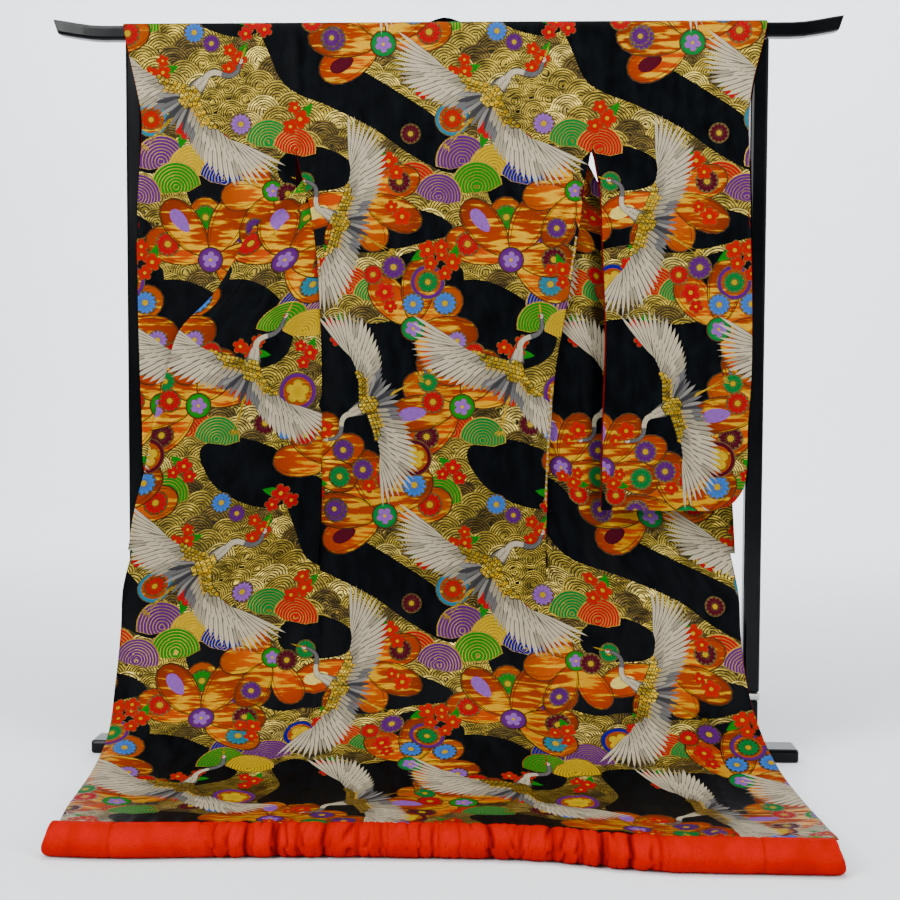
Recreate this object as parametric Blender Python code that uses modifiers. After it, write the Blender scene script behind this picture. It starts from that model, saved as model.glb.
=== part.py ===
"""Uchikake wedding kimono spread on a lacquered stand, seen from its back.

Frame: +X runs to the right of someone who faces the kimono's back, -Y comes towards them and
+Z is up. The floor is Z = 0. Every length is in metres.

The cloth is measured the way it is cut: "down" is the distance along the cloth from the shoulder
line over the rod, and "across" runs sideways from the centre back.
"""
import bpy
import bmesh
import math
import numpy as np
from mathutils import Matrix, Vector

# ---------------------------------------------------------------- driving sizes
CLOTH = 0.0022            # silk brocade, interlining and red lining together
SEAM_GAP = 0.0003         # two pieces of cloth at a seam
FOLD_SEAM_GAP = 0.0054    # the collar seam where the fold runs across it
REST_GAP = 0.0003         # two hard pieces that touch

TOP_Z = 1.509             # outer face of the cloth over the rod
DRAPE_HALF = 0.0225       # half the cloth's depth over the rod
DRAPE_CORNER = 0.009      # radius of its turn at each edge of the rod
ROD_DEPTH = 0.032
ROD_HEIGHT = 0.030
ROD_TOP_Z = 1.5055
ROD_END_RISE = 0.0155     # the ends sweep up
ROD_SWEEP_FROM = 0.70     # where the sweep begins, from the middle

POST_X = 0.637
POST_SIZE = 0.035
POST_FOOT_SIZE = 0.031
POST_ROUND = 0.006
BAND_Z = 0.126            # underside of the metal band
BAND_HEIGHT = 0.014
BAND_SIZE = 0.0365
BAR_HALF_LENGTH = 0.734
BAR_DEPTH = 0.070
BAR_HEIGHT = 0.028
FOOT_WIDTH = 0.050
FOOT_FRONT_REACH = 0.150
FOOT_REAR_REACH = 0.230

HEM_SEAM_Z = 0.0470       # where the brocade meets the padded hem
ARM_DOWN = 0.285          # the sleeve is sewn to the body down to here
SIDE_SEAM_DOWN = 0.66     # the side is open from there to here
HEM_DOWN = 1.922          # length of the body at the centre back
EDGE_CURL = 0.010         # the back panel's side edge turns this far under
EDGE_CURL_WIDTH = 0.045

SLEEVE_DOWN = 1.010
SLEEVE_CORNER = 0.070     # radius of the rounded lower corner
SLEEVE_CUFF_DOWN = 0.320  # the cuff is open down to here
SLEEVE_SHUT_Y = -0.0214   # where the two layers are sewn together, in front of the post
SLEEVE_SHUT_WIDTH = 0.016 # how much of the outer edge lies flat together
SLEEVE_SHUT_FROM = 0.060  # where the layers begin to close, from the outer edge
SLEEVE_SHUT_GAP = 0.0012
SLEEVE_STEP = (0.285, 0.360)   # across this, cloth steps in front of or behind the sleeve
COLLAR_RISE = 0.012       # the collar stands above the shoulder line at the neck
COLLAR_RISE_DOWN = 0.040  # the rise has died away this far down the front
COLLAR_BEHIND = 0.002     # it stands this far behind the front's drape

BACK_TURNED = 0.400       # the side edge is fully turned under from here
LAYERS_PART = 0.450       # the folded front's far layer nears the side seam from here
FRONT_FOLDED = (0.061, 1.150)  # the front is folded on itself between these
FOLD_CLEARANCE = 0.050    # less than this between side seam and fold leaves no flat between
SEAM_LEAD = 0.020         # the far layer settles over this width
FOLD_STEPS = 12
FRONT_STEPS = 16
SOFT_FOLD = 0.0032        # height of the shallow flutes in the lower cloth
HEM_GROWS_FROM = 1.250    # the longer hem gets its extra length below this
SLEEVE_SHUT_EASE = 0.050  # length over which the closed edge begins
SLEEVE_BOTTOM_SHUT = (0.100, 0.010)  # the layers close between these, above the bottom
SLEEVE_CORNER_STEPS = 5

FUKI_DEPTH = 0.074        # padded hem roll, front to back
FUKI_HEIGHT = 0.056
FUKI_BACK = 0.033         # its middle lies this far in front of the hem seam
FUKI_MIDDLE_Z = 0.0263    # a little sunk, because its weight flattens it
FUKI_PINCH = 0.0075       # how far the deepest gather draws it in
FUKI_PINCH_LIFT = 0.8     # share of that at the top and underneath
FUKI_END_ROUND = 0.022
FUKI_END_SIZE = 0.42      # share of the section left at the very end
FUKI_END_SLANT = 0.020    # the ends run out along the floor
FUKI_SECTION = 0.011      # longest step between two sections

# How the lower cloth leans from hanging (0 degrees) to lying (90 degrees).
# Columns: down from the start of the lean (m), lean (degrees).
LEAN = [
    (0.00, 0.0),
    (0.16, 6.0),
    (0.30, 24.0),
    (0.42, 48.0),
    (0.56, 68.0),
    (0.70, 84.0),
    (0.80, 92.0),
    (0.97, 96.0),
]

# Centre back and side seams of the back panels.
# Columns: down, centre back x, left side x, right side x.
BACK = [
    (0.000, -0.004, -0.300, 0.300),
    (0.285, -0.003, -0.300, 0.296),
    (0.345, -0.003, -0.286, 0.286),
    (0.420, -0.003, -0.270, 0.278),
    (0.540, -0.002, -0.258, 0.261),
    (0.620, -0.002, -0.254, 0.247),
    (0.720, -0.001, -0.252, 0.231),
    (0.930, 0.000, -0.251, 0.218),
    (1.250, 0.003, -0.256, 0.212),
    (1.400, 0.006, -0.254, 0.226),
    (1.600, 0.012, -0.243, 0.246),
    (1.760, 0.018, -0.232, 0.268),
    (1.900, 0.024, -0.222, 0.286),
]

# The hem lies further out towards the right. Columns: x, extra cloth below HEM_DOWN.
HEM_EXTRA = [
    (-0.68, 0.010),
    (-0.52, 0.018),
    (-0.36, 0.008),
    (0.02, -0.008),
    (0.20, 0.000),
    (0.30, 0.026),
    (0.46, 0.048),
    (0.58, 0.056),
    (0.70, 0.048),
]

# Each front swings out from behind the back, folded once on itself, and lies open lower down.
# Columns: down, fold x, okumi width, collar width, free edge x, far layer y, near layer y,
# y out past the sleeve seam. The x values are distances from the middle, and a y is where the
# layer lies while the cloth hangs straight.
LEFT_FRONT = [
    (0.000, 0.050, 0.000, 0.045, 0.050, 0.0225, 0.0225, 0.0225),
    (0.060, 0.062, 0.000, 0.045, 0.062, 0.0225, 0.0225, 0.0225),
    (0.120, 0.098, 0.000, 0.045, 0.122, 0.0225, 0.0090, 0.0090),
    (0.200, 0.122, 0.000, 0.045, 0.195, 0.0220, 0.0000, 0.0000),
    (0.285, 0.142, 0.000, 0.045, 0.262, 0.0190, -0.0050, -0.0050),
    (0.345, 0.158, 0.003, 0.045, 0.298, 0.0160, -0.0060, -0.0220),
    (0.391, 0.168, 0.010, 0.045, 0.342, 0.0150, -0.0070, -0.0300),
    (0.450, 0.180, 0.016, 0.045, 0.400, 0.0140, -0.0070, -0.0310),
    (0.510, 0.192, 0.031, 0.045, 0.434, 0.0140, -0.0070, -0.0310),
    (0.570, 0.203, 0.058, 0.045, 0.472, 0.0140, -0.0070, -0.0310),
    (0.641, 0.224, 0.100, 0.045, 0.540, 0.0140, -0.0070, -0.0310),
    (0.723, 0.226, 0.092, 0.045, 0.568, 0.0140, -0.0070, -0.0310),
    (0.831, 0.228, 0.081, 0.045, 0.597, 0.0140, -0.0070, -0.0310),
    (0.941, 0.234, 0.086, 0.033, 0.619, 0.0120, -0.0070, -0.0310),
    (1.010, 0.240, 0.108, 0.019, 0.638, 0.0090, -0.0075, -0.0300),
    (1.100, 0.244, 0.124, 0.010, 0.653, 0.0040, -0.0085, -0.0300),
    (1.180, 0.250, 0.141, 0.000, 0.662, -0.0060, -0.0180, -0.0300),
    (1.380, 0.256, 0.138, 0.000, 0.660, -0.0225, -0.0225, -0.0260),
    (1.500, 0.250, 0.132, 0.000, 0.648, -0.0225, -0.0225, -0.0225),
    (1.760, 0.233, 0.130, 0.000, 0.644, -0.0225, -0.0225, -0.0225),
    (1.970, 0.222, 0.092, 0.000, 0.606, -0.0225, -0.0225, -0.0225),
]
RIGHT_FRONT = [
    (0.000, 0.050, 0.000, 0.045, 0.050, 0.0225, 0.0225, 0.0225),
    (0.060, 0.062, 0.000, 0.045, 0.062, 0.0225, 0.0225, 0.0225),
    (0.120, 0.098, 0.000, 0.045, 0.122, 0.0225, 0.0100, 0.0100),
    (0.200, 0.122, 0.000, 0.045, 0.200, 0.0225, 0.0020, 0.0020),
    (0.285, 0.142, 0.000, 0.045, 0.283, 0.0260, 0.0040, 0.0040),
    (0.345, 0.156, 0.003, 0.045, 0.318, 0.0290, 0.0070, 0.0170),
    (0.391, 0.166, 0.010, 0.045, 0.352, 0.0300, 0.0080, 0.0300),
    (0.450, 0.178, 0.016, 0.045, 0.402, 0.0300, 0.0080, 0.0310),
    (0.510, 0.188, 0.032, 0.045, 0.431, 0.0300, 0.0080, 0.0310),
    (0.570, 0.192, 0.058, 0.045, 0.467, 0.0300, 0.0080, 0.0310),
    (0.641, 0.192, 0.103, 0.045, 0.530, 0.0300, 0.0080, 0.0310),
    (0.723, 0.190, 0.094, 0.045, 0.549, 0.0290, 0.0080, 0.0310),
    (0.831, 0.188, 0.085, 0.045, 0.573, 0.0270, 0.0070, 0.0310),
    (0.941, 0.190, 0.094, 0.033, 0.595, 0.0230, 0.0040, 0.0310),
    (1.010, 0.194, 0.110, 0.019, 0.602, 0.0170, 0.0000, 0.0300),
    (1.100, 0.202, 0.122, 0.010, 0.606, 0.0080, -0.0060, 0.0200),
    (1.180, 0.211, 0.131, 0.000, 0.609, -0.0060, -0.0150, -0.0040),
    (1.260, 0.218, 0.128, 0.000, 0.609, -0.0180, -0.0200, -0.0180),
    (1.380, 0.224, 0.126, 0.000, 0.616, -0.0225, -0.0225, -0.0240),
    (1.500, 0.238, 0.126, 0.000, 0.634, -0.0225, -0.0225, -0.0225),
    (1.700, 0.260, 0.144, 0.000, 0.668, -0.0225, -0.0225, -0.0225),
    (1.970, 0.286, 0.130, 0.000, 0.674, -0.0225, -0.0225, -0.0225),
]

# The sleeves hang flat. Columns: down, near wall's outer edge x, far wall's outer edge x, then
# near wall y and far wall y at the cuff side, near wall y and far wall y at the body side.
# The x values are distances from the middle. The far wall stays clear of the post.
LEFT_SLEEVE = [
    (0.000, 0.659, 0.657, -0.0225, 0.0225, -0.0225, 0.0225),
    (0.040, 0.653, 0.650, -0.0225, 0.0225, -0.0225, 0.0225),
    (0.095, 0.642, 0.637, -0.0225, 0.0225, -0.0225, 0.0225),
    (0.225, 0.619, 0.614, -0.0225, 0.0215, -0.0225, 0.0225),
    (0.285, 0.622, 0.612, -0.0230, 0.0205, -0.0200, 0.0230),
    (0.345, 0.627, 0.612, -0.0230, 0.0180, -0.0020, 0.0260),
    (0.450, 0.631, 0.631, -0.0180, 0.0160, -0.0020, 0.0260),
    (0.700, 0.628, 0.628, -0.0180, 0.0140, -0.0020, 0.0240),
    (1.010, 0.617, 0.617, -0.0205, 0.0080, -0.0030, 0.0200),
]
RIGHT_SLEEVE = [
    (0.000, 0.650, 0.648, -0.0225, 0.0225, -0.0225, 0.0225),
    (0.040, 0.646, 0.642, -0.0225, 0.0225, -0.0225, 0.0225),
    (0.095, 0.633, 0.626, -0.0225, 0.0225, -0.0225, 0.0225),
    (0.195, 0.614, 0.609, -0.0225, 0.0215, -0.0225, 0.0225),
    (0.285, 0.616, 0.611, -0.0225, 0.0190, -0.0225, 0.0190),
    (0.345, 0.619, 0.612, -0.0225, 0.0180, -0.0230, -0.0040),
    (0.450, 0.622, 0.622, -0.0225, 0.0180, -0.0230, -0.0040),
    (0.700, 0.628, 0.628, -0.0225, 0.0150, -0.0240, -0.0050),
    (0.860, 0.621, 0.621, -0.0225, 0.0120, -0.0240, -0.0055),
    (1.010, 0.618, 0.618, -0.0225, 0.0100, -0.0230, -0.0060),
]
# Inner edges of the sleeves below the armhole. Columns: down, left x, right x.
SLEEVE_INNER = [
    (0.000, 0.301, 0.3005),
    (0.285, 0.302, 0.3060),
    (0.370, 0.306, 0.3190),
    (0.480, 0.306, 0.3240),
    (0.660, 0.306, 0.3320),
    (0.840, 0.306, 0.3280),
    (1.010, 0.306, 0.3260),
]

# The gathers of the padded hem. Columns: x, depth as a share of the deepest.
PINCHES = [
    (-0.640, 0.00),
    (-0.392, 0.14),
    (-0.351, 0.32),
    (-0.328, 0.26),
    (-0.292, 0.72),
    (-0.241, 0.85),
    (-0.208, 0.48),
    (-0.165, 0.68),
    (-0.109, 0.52),
    (-0.073, 0.30),
    (0.024, 0.16),
    (0.056, 0.20),
    (0.105, 0.42),
    (0.156, 0.46),
    (0.210, 0.55),
    (0.257, 0.50),
    (0.288, 1.00),
    (0.333, 0.52),
    (0.382, 0.34),
    (0.430, 0.12),
    (0.538, 0.08),
    (0.684, 0.00),
]

OVER_ROD_STEPS = [0.0, 0.0135, 0.0182, 0.0229, 0.0277]
DOWN_STEPS = OVER_ROD_STEPS + [
    0.060, 0.090, 0.120, 0.160, 0.200, 0.240, 0.285, 0.315, 0.345,
    0.391, 0.450, 0.510, 0.570, 0.641, 0.723, 0.831, 0.941, 1.010, 1.100, 1.180, 1.260, 1.330,
    1.395, 1.455, 1.515, 1.575, 1.640, 1.710, 1.790, HEM_DOWN,
]
SLEEVE_STEPS = OVER_ROD_STEPS + [
    0.060, 0.095, 0.140, 0.210, 0.285, 0.320, 0.345, 0.391, 0.450,
    0.540, 0.640, 0.740, 0.840, 0.940,
]
BACK_COLUMNS = 8
FRONT_FOLD_COLUMNS = 4    # round the fold
FRONT_FAR_COLUMNS = 2     # before it
FRONT_NEAR_COLUMNS = 8    # after it
OKUMI_COLUMNS = 4
COLLAR_COLUMNS = 3
SLEEVE_COLUMNS = 8
OKUMI_TOP_DOWN = 0.450
COLLAR_END_DOWN = 1.100
COLLAR_NECK_STEPS = OVER_ROD_STEPS + [0.035, 0.045, 0.055]
COLLAR_NECK_COLUMNS = 8
ROLL_SIDES = 14
ROD_SECTIONS = (0.0, 0.700, 0.725, 0.755, 0.785, 0.803)   # distances from the middle
ROD_SIDES = 20
ROD_SQUARENESS = 0.34     # the power that turns an ellipse into a rounded square
ROD_END_CUT = 0.010       # the ends are cut at a slant
ROD_SWEEP_TO = 0.835      # the sweep would end past the rod's end
BAND_ROUND = 0.003
FOOT_ROUND = 0.004
BAR_ROUND = 0.006


# ---------------------------------------------------------------- helpers
def start_empty():
    """Remove whatever the file holds, so that the model stands alone."""
    for obj in list(bpy.data.objects):
        bpy.data.objects.remove(obj)
    for collection in list(bpy.data.collections):
        bpy.data.collections.remove(collection)


def new_collection(name):
    collection = bpy.data.collections.new(name)
    bpy.context.scene.collection.children.link(collection)
    return collection


def new_material(name, colour, roughness, metallic=0.0):
    material = bpy.data.materials.new(name)
    material.use_nodes = True
    shader = material.node_tree.nodes["Principled BSDF"]
    shader.inputs["Base Color"].default_value = (*colour, 1.0)
    shader.inputs["Roughness"].default_value = roughness
    shader.inputs["Metallic"].default_value = metallic
    return material


def column(table, index, at):
    """Read one column of a table at a place in its first column, as a smooth curve."""
    xs = np.array([row[0] for row in table])
    ys = np.array([row[index] for row in table])
    slopes = np.diff(ys) / np.diff(xs)
    tangents = np.concatenate(([slopes[0]], (slopes[:-1] + slopes[1:]) / 2, [slopes[-1]]))
    flat = np.concatenate(([False], slopes[:-1] * slopes[1:] <= 0, [False]))
    tangents[flat] = 0.0
    at = min(max(at, xs[0]), xs[-1])
    i = int(min(np.searchsorted(xs, at, side="right") - 1, len(xs) - 2))
    step = xs[i + 1] - xs[i]
    t = (at - xs[i]) / step
    return float(
        ys[i] * (1 + 2 * t) * (1 - t) ** 2
        + ys[i + 1] * t * t * (3 - 2 * t)
        + tangents[i] * step * t * (1 - t) ** 2
        - tangents[i + 1] * step * t * t * (1 - t)
    )


def ease(at, start, end):
    """0 before start, 1 after end, smooth between."""
    t = min(max((at - start) / (end - start), 0.0), 1.0)
    return t * t * (3 - 2 * t)


def link(obj, name, collection, material):
    obj.name = name
    obj.data.name = name
    obj.data.materials.clear()
    obj.data.materials.append(material)
    for owner in list(obj.users_collection):
        owner.objects.unlink(obj)
    collection.objects.link(obj)
    return obj


def cloth_wall(name, rows, collection, material, outside):
    """A wall of cloth: an open grid of points with Solidify.

    rows is a list of rows of points, and outside is a direction on the outer side at the first
    face, so that the thickness goes inwards.
    """
    mesh = bpy.data.meshes.new(name)
    build = bmesh.new()
    grid = [[build.verts.new(point) for point in row] for row in rows]
    for upper, lower in zip(grid[:-1], grid[1:]):
        for i in range(len(upper) - 1):
            build.faces.new((upper[i], lower[i], lower[i + 1], upper[i + 1]))
    build.normal_update()
    build.faces.ensure_lookup_table()
    if build.faces[0].normal.dot(Vector(outside)) < 0:
        bmesh.ops.reverse_faces(build, faces=build.faces)
    build.to_mesh(mesh)
    build.free()
    mesh.shade_smooth()
    obj = bpy.data.objects.new(name, mesh)
    wall = obj.modifiers.new("wall", "SOLIDIFY")
    wall.thickness = CLOTH
    wall.offset = -1.0
    wall.use_even_offset = False
    return link(obj, name, collection, material)


def tube(name, rings, collection, material):
    """A closed solid through rings of points, with flat ends."""
    build = bmesh.new()
    loops = [[build.verts.new(point) for point in ring] for ring in rings]
    for one, two in zip(loops[:-1], loops[1:]):
        for k in range(len(one)):
            after = (k + 1) % len(one)
            build.faces.new((one[k], one[after], two[after], two[k]))
    build.faces.new(loops[0])
    build.faces.new(loops[-1])
    bmesh.ops.recalc_face_normals(build, faces=build.faces)
    mesh = bpy.data.meshes.new(name)
    build.to_mesh(mesh)
    build.free()
    mesh.shade_smooth()
    return link(bpy.data.objects.new(name, mesh), name, collection, material)


def block(name, size, centre, round_edge, collection, material, segments=2):
    """A box with rounded edges."""
    bpy.ops.mesh.primitive_cube_add(size=1.0)
    obj = bpy.context.object
    obj.data.transform(Matrix.Diagonal((*size, 1.0)))
    obj.location = centre
    if round_edge:
        bevel = obj.modifiers.new("rounded edges", "BEVEL")
        bevel.width = round_edge
        bevel.segments = segments
    return link(obj, name, collection, material)


# ---------------------------------------------------------------- how the cloth hangs
OVER_ROD = DRAPE_HALF - DRAPE_CORNER + DRAPE_CORNER * math.pi / 2


def lean_profile():
    """The lower hanging line as fine arrays: down, reach, height and lean in radians.

    reach is the distance out from the rod's middle, towards the viewer. The lean starts where
    it has to for the hem to end up at its height.
    """
    step = 0.002
    along = np.arange(0.0, LEAN[-1][0] + step / 2, step)
    leans = np.radians([column(LEAN, 1, s) for s in along])
    falls = np.concatenate(([0.0], np.cumsum(np.cos(leans[:-1]) * step)))
    reaches = np.concatenate(([0.0], np.cumsum(np.sin(leans[:-1]) * step)))
    start = OVER_ROD
    for _ in range(60):
        height = TOP_Z - DRAPE_CORNER - (start - OVER_ROD)
        height -= float(np.interp(HEM_DOWN - start, along, falls))
        start += (height - HEM_SEAM_Z) * 0.5
    heights = TOP_Z - DRAPE_CORNER - (start - OVER_ROD) - falls
    return start + along, DRAPE_HALF + reaches, heights, leans


PROFILE = lean_profile()
LEAN_START = float(PROFILE[0][0])


def hang(down):
    """Reach, height and lean of the hanging line at a distance down the cloth."""
    flat = DRAPE_HALF - DRAPE_CORNER
    if down <= flat:
        return down, TOP_Z, 0.0
    if down <= OVER_ROD:
        turn = (down - flat) / DRAPE_CORNER
        reach = flat + DRAPE_CORNER * math.sin(turn)
        return reach, TOP_Z - DRAPE_CORNER * (1 - math.cos(turn)), 0.0
    if down <= LEAN_START:
        return DRAPE_HALF, TOP_Z - DRAPE_CORNER - (down - OVER_ROD), 0.0
    downs, reaches, heights, leans = PROFILE
    return (
        float(np.interp(down, downs, reaches)),
        float(np.interp(down, downs, heights)),
        float(np.interp(down, downs, leans)),
    )


def stretch(down, x):
    """Where a row really lies along the hanging line: the hem is longer in some places."""
    share = ease(down, HEM_GROWS_FROM, HEM_DOWN)
    return down + share * column(HEM_EXTRA, 1, x)


def soft_folds(down, x):
    """Shallow flutes in the lower cloth, which the gathered hem pulls in."""
    grow = ease(down, 0.95, 1.45) * (1 - 0.8 * ease(down, 1.62, HEM_DOWN))
    wave = math.sin(x * 34.0 + 0.6) + 0.5 * math.sin(x * 57.0 + 2.1)
    return SOFT_FOLD * grow * wave


def place(down, x, y_layer, far_side=False):
    """A point of the cloth: y_layer is its y where the cloth hangs straight."""
    if down < OVER_ROD:
        reach, height, _ = hang(down)
        return Vector((x, reach if far_side else -reach, height))
    reach, height, lean = hang(stretch(down, x))
    depth = y_layer + DRAPE_HALF + soft_folds(down, x)
    return Vector((x, -reach + depth * math.cos(lean), height - depth * math.sin(lean)))


def side_curl(down):
    """How far the side edge of the back turns under."""
    opened = ease(down, ARM_DOWN, BACK_TURNED)
    return EDGE_CURL * opened * (1 - 0.5 * ease(down, 1.05, 1.30)) * (1 - ease(down, 1.5, HEM_DOWN))


def seam_gap(down):
    """Seams are a little wider where the cloth is fluted."""
    return SEAM_GAP * (1 + ease(down, 0.95, 1.30))


# ---------------------------------------------------------------- body
def back_panel(name, side, collection, material):
    """One half of the back, from the centre seam to the side, over the rod to the hem."""
    rows = []
    for down in DOWN_STEPS:
        centre = column(BACK, 1, down) + side * seam_gap(down) / 2
        edge = column(BACK, 2 if side < 0 else 3, down) - side * seam_gap(down) / 2
        curl = side_curl(down)
        row = []
        for i in range(BACK_COLUMNS + 1):
            share = i / BACK_COLUMNS
            x = centre + (edge - centre) * share
            from_edge = abs(edge - x)
            turn = curl * (1 - ease(from_edge, 0.0, EDGE_CURL_WIDTH))
            row.append(place(down, x, -DRAPE_HALF + turn))
        rows.append(row)
    for i, point in enumerate(rows[0]):
        rows[0][i] = Vector((point.x, -SEAM_GAP / 2, point.z))
    return cloth_wall(name, rows, collection, material, (0, -1, 0.5))


def front_path(side, down):
    """The front's line in plan at one height, from the side seam to the free edge.

    Higher up it runs behind the back, turns round a fold and comes out past the side. Returns a
    function from the distance along it to (x, y), and a dictionary of distances along it: the
    fold's start and end, and the okumi seam, the collar seam and the free edge.
    """
    table = LEFT_FRONT if side < 0 else RIGHT_FRONT
    fold, okumi_width, collar_width, edge, far_y, near_y, out_y = [
        column(table, i, down) for i in range(1, 8)
    ]
    start = abs(column(BACK, 2 if side < 0 else 3, down)) + seam_gap(down) / 2
    flush_y = -DRAPE_HALF + side_curl(down)
    radius = (far_y - near_y) / 2
    folded = FRONT_FOLDED[0] < down < FRONT_FOLDED[1]
    behind_y = flush_y + 2 * CLOTH + 2 * SEAM_GAP
    points = []
    if folded:
        seam_y = far_y + (behind_y - far_y) * ease(down, LAYERS_PART, SIDE_SEAM_DOWN)
        points.append((start, seam_y))
        if start - fold > FOLD_CLEARANCE:
            points.append((start - SEAM_LEAD, far_y))
        bend_x = min(fold + radius, start - 0.001)
        fold_points = len(points)
        for k in range(FOLD_STEPS + 1):
            angle = math.pi * k / FOLD_STEPS
            points.append((
                bend_x - radius * math.sin(angle),
                (far_y + near_y) / 2 + radius * math.cos(angle),
            ))
    else:
        points.append((start, far_y if down < ARM_DOWN else flush_y))
        fold_points = 0
    last_x = points[-1][0]
    for k in range(1, FRONT_STEPS + 1):
        x = last_x + (edge - last_x) * k / FRONT_STEPS
        out = ease(x, *SLEEVE_STEP)
        points.append((x, near_y + (out_y - near_y) * out))
    line = np.array(points)
    lengths = np.concatenate(([0.0], np.cumsum(np.hypot(*np.diff(line, axis=0).T))))
    total = float(lengths[-1])

    def at(distance):
        return (
            side * float(np.interp(distance, lengths, line[:, 0])),
            float(np.interp(distance, lengths, line[:, 1])),
        )

    marks = {
        "fold_start": float(lengths[fold_points]),
        "fold_end": float(lengths[fold_points + FOLD_STEPS]) if folded else 0.0,
        "okumi": total - collar_width - okumi_width,
        "collar": total - collar_width,
        "edge": total,
        "gathered": ease(down, 0.10, 0.20) * (1 - ease(down, 0.80, 1.10)),
    }
    return at, marks


def strip_gap(down):
    """The gap at the okumi and collar seams."""
    crossing = 1 - ease(down, 0.16, 0.28)
    return seam_gap(down) * 1.2 + (FOLD_SEAM_GAP - SEAM_GAP) * crossing


def spread(marks):
    """Where the front's columns lie along its path: closer together round the fold."""
    end = marks["okumi"]
    count = FRONT_FAR_COLUMNS + FRONT_FOLD_COLUMNS + FRONT_NEAR_COLUMNS
    even = np.linspace(0.0, end, count + 1)
    bend, past = marks["fold_start"], min(marks["fold_end"], 0.92 * end)
    bend = min(bend, 0.85 * past)
    close = np.concatenate((
        np.linspace(0.0, bend, FRONT_FAR_COLUMNS + 1),
        np.linspace(bend, past, FRONT_FOLD_COLUMNS + 1)[1:],
        np.linspace(past, end, FRONT_NEAR_COLUMNS + 1)[1:],
    ))
    return even + (close - even) * marks["gathered"]


def strip_rows(side, downs, columns, first, last):
    """Rows of points between two marks of front_path."""
    rows = []
    for down in downs:
        at, marks = front_path(side, down)
        half_gap = strip_gap(down) / 2
        start = marks[first] + half_gap
        end = marks[last] - (half_gap if last != "edge" else 0.0)
        rows.append([
            place(down, *at(start + (end - start) * i / columns), far_side=True)
            for i in range(columns + 1)
        ])
    return rows


def start_on_shoulder(rows):
    for i, point in enumerate(rows[0]):
        rows[0][i] = Vector((point.x, SEAM_GAP / 2, point.z))
    return rows


def front_panel(name, side, collection, material):
    """One front, from the side seam to the okumi seam, over the rod to the hem."""
    rows = []
    for down in DOWN_STEPS:
        at, marks = front_path(side, down)
        marks["okumi"] -= strip_gap(down) / 2
        rows.append([place(down, *at(distance), far_side=True) for distance in spread(marks)])
    return cloth_wall(name, start_on_shoulder(rows), collection, material, (0, 1, 0.5))


def okumi_panel(name, side, collection, material):
    """The overlap strip between the front and the collar, pointed at its top."""
    downs = [down for down in DOWN_STEPS if down >= OKUMI_TOP_DOWN]
    rows = strip_rows(side, downs, OKUMI_COLUMNS, "okumi", "collar")
    return cloth_wall(name, rows, collection, material, (0, -1, 0))


def collar_half(name, side, collection, material):
    """The collar down one front, as far as it goes."""
    downs = [down for down in DOWN_STEPS if down <= COLLAR_END_DOWN]
    rows = strip_rows(side, downs, COLLAR_COLUMNS, "collar", "edge")
    return cloth_wall(name, start_on_shoulder(rows), collection, material, (0, 1, 0.5))


def collar_neck(name, collection, material):
    """The collar across the back of the neck: it rises over the shoulder line."""
    half = LEFT_FRONT[0][4] - SEAM_GAP
    rows = []
    for down in COLLAR_NECK_STEPS:
        fade = 1 - ease(down, 0.0, COLLAR_RISE_DOWN)
        row = []
        for i in range(COLLAR_NECK_COLUMNS + 1):
            x = -half + 2 * half * i / COLLAR_NECK_COLUMNS
            rise = COLLAR_RISE * math.cos(math.pi * x / (2 * half)) ** 2
            point = place(down, x, DRAPE_HALF, far_side=True)
            row.append(point + Vector((0, COLLAR_BEHIND, rise * fade)))
        rows.append(row)
    return cloth_wall(name, rows, collection, material, (0, 0.3, 1))


# ---------------------------------------------------------------- sleeves
def sleeve_wall(name, side, far, collection, material):
    """One layer of a sleeve. The two layers meet at the outer edge and the bottom."""
    table = LEFT_SLEEVE if side < 0 else RIGHT_SLEEVE
    corner = [
        SLEEVE_DOWN - SLEEVE_CORNER * (1 - math.sin(math.pi / 2 * k / SLEEVE_CORNER_STEPS))
        for k in range(1, SLEEVE_CORNER_STEPS + 1)
    ]
    rows = []
    for down in SLEEVE_STEPS + corner:
        inner = column(SLEEVE_INNER, 1 if side < 0 else 2, down) + SEAM_GAP / 2
        near_x, far_x, near_out, far_out, near_in, far_in = [
            column(table, i, down) for i in range(1, 7)
        ]
        past = max(down - (SLEEVE_DOWN - SLEEVE_CORNER), 0.0)
        outer = far_x if far else near_x
        outer -= SLEEVE_CORNER - math.sqrt(max(SLEEVE_CORNER ** 2 - past ** 2, 0.0))
        flat_from = outer - SLEEVE_SHUT_WIDTH
        across = list(np.linspace(inner, flat_from, SLEEVE_COLUMNS)) + [outer]
        closed = CLOTH + SLEEVE_SHUT_GAP / 2
        row = []
        for x in across:
            out = ease(x, *SLEEVE_STEP)
            near = near_in + (near_out - near_in) * out
            away = far_in + (far_out - far_in) * out
            to_side = ease(x, outer - SLEEVE_SHUT_FROM, flat_from)
            shut_y = (near + closed) * (1 - to_side) + SLEEVE_SHUT_Y * to_side
            shut_side = to_side * ease(down, SLEEVE_CUFF_DOWN, SLEEVE_CUFF_DOWN + SLEEVE_SHUT_EASE)
            shut_end = ease(down, *[SLEEVE_DOWN - above for above in SLEEVE_BOTTOM_SHUT])
            shut = max(shut_side, shut_end)
            if far:
                y = away + (shut_y + closed - away) * shut
            else:
                y = near + (shut_y - closed - near) * shut
            if down < OVER_ROD:
                reach, height, _ = hang(down)
                row.append(Vector((side * x, reach if far else -reach, height)))
            else:
                row.append(Vector((side * x, y, hang(down)[1])))
        rows.append(row)
    gap = SEAM_GAP / 2 if far else -SEAM_GAP / 2
    rows[0] = [Vector((point.x, gap, point.z)) for point in rows[0]]
    outside = (0, 1, 0.5) if far else (0, -1, 0.5)
    return cloth_wall(name, rows, collection, material, outside)


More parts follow.
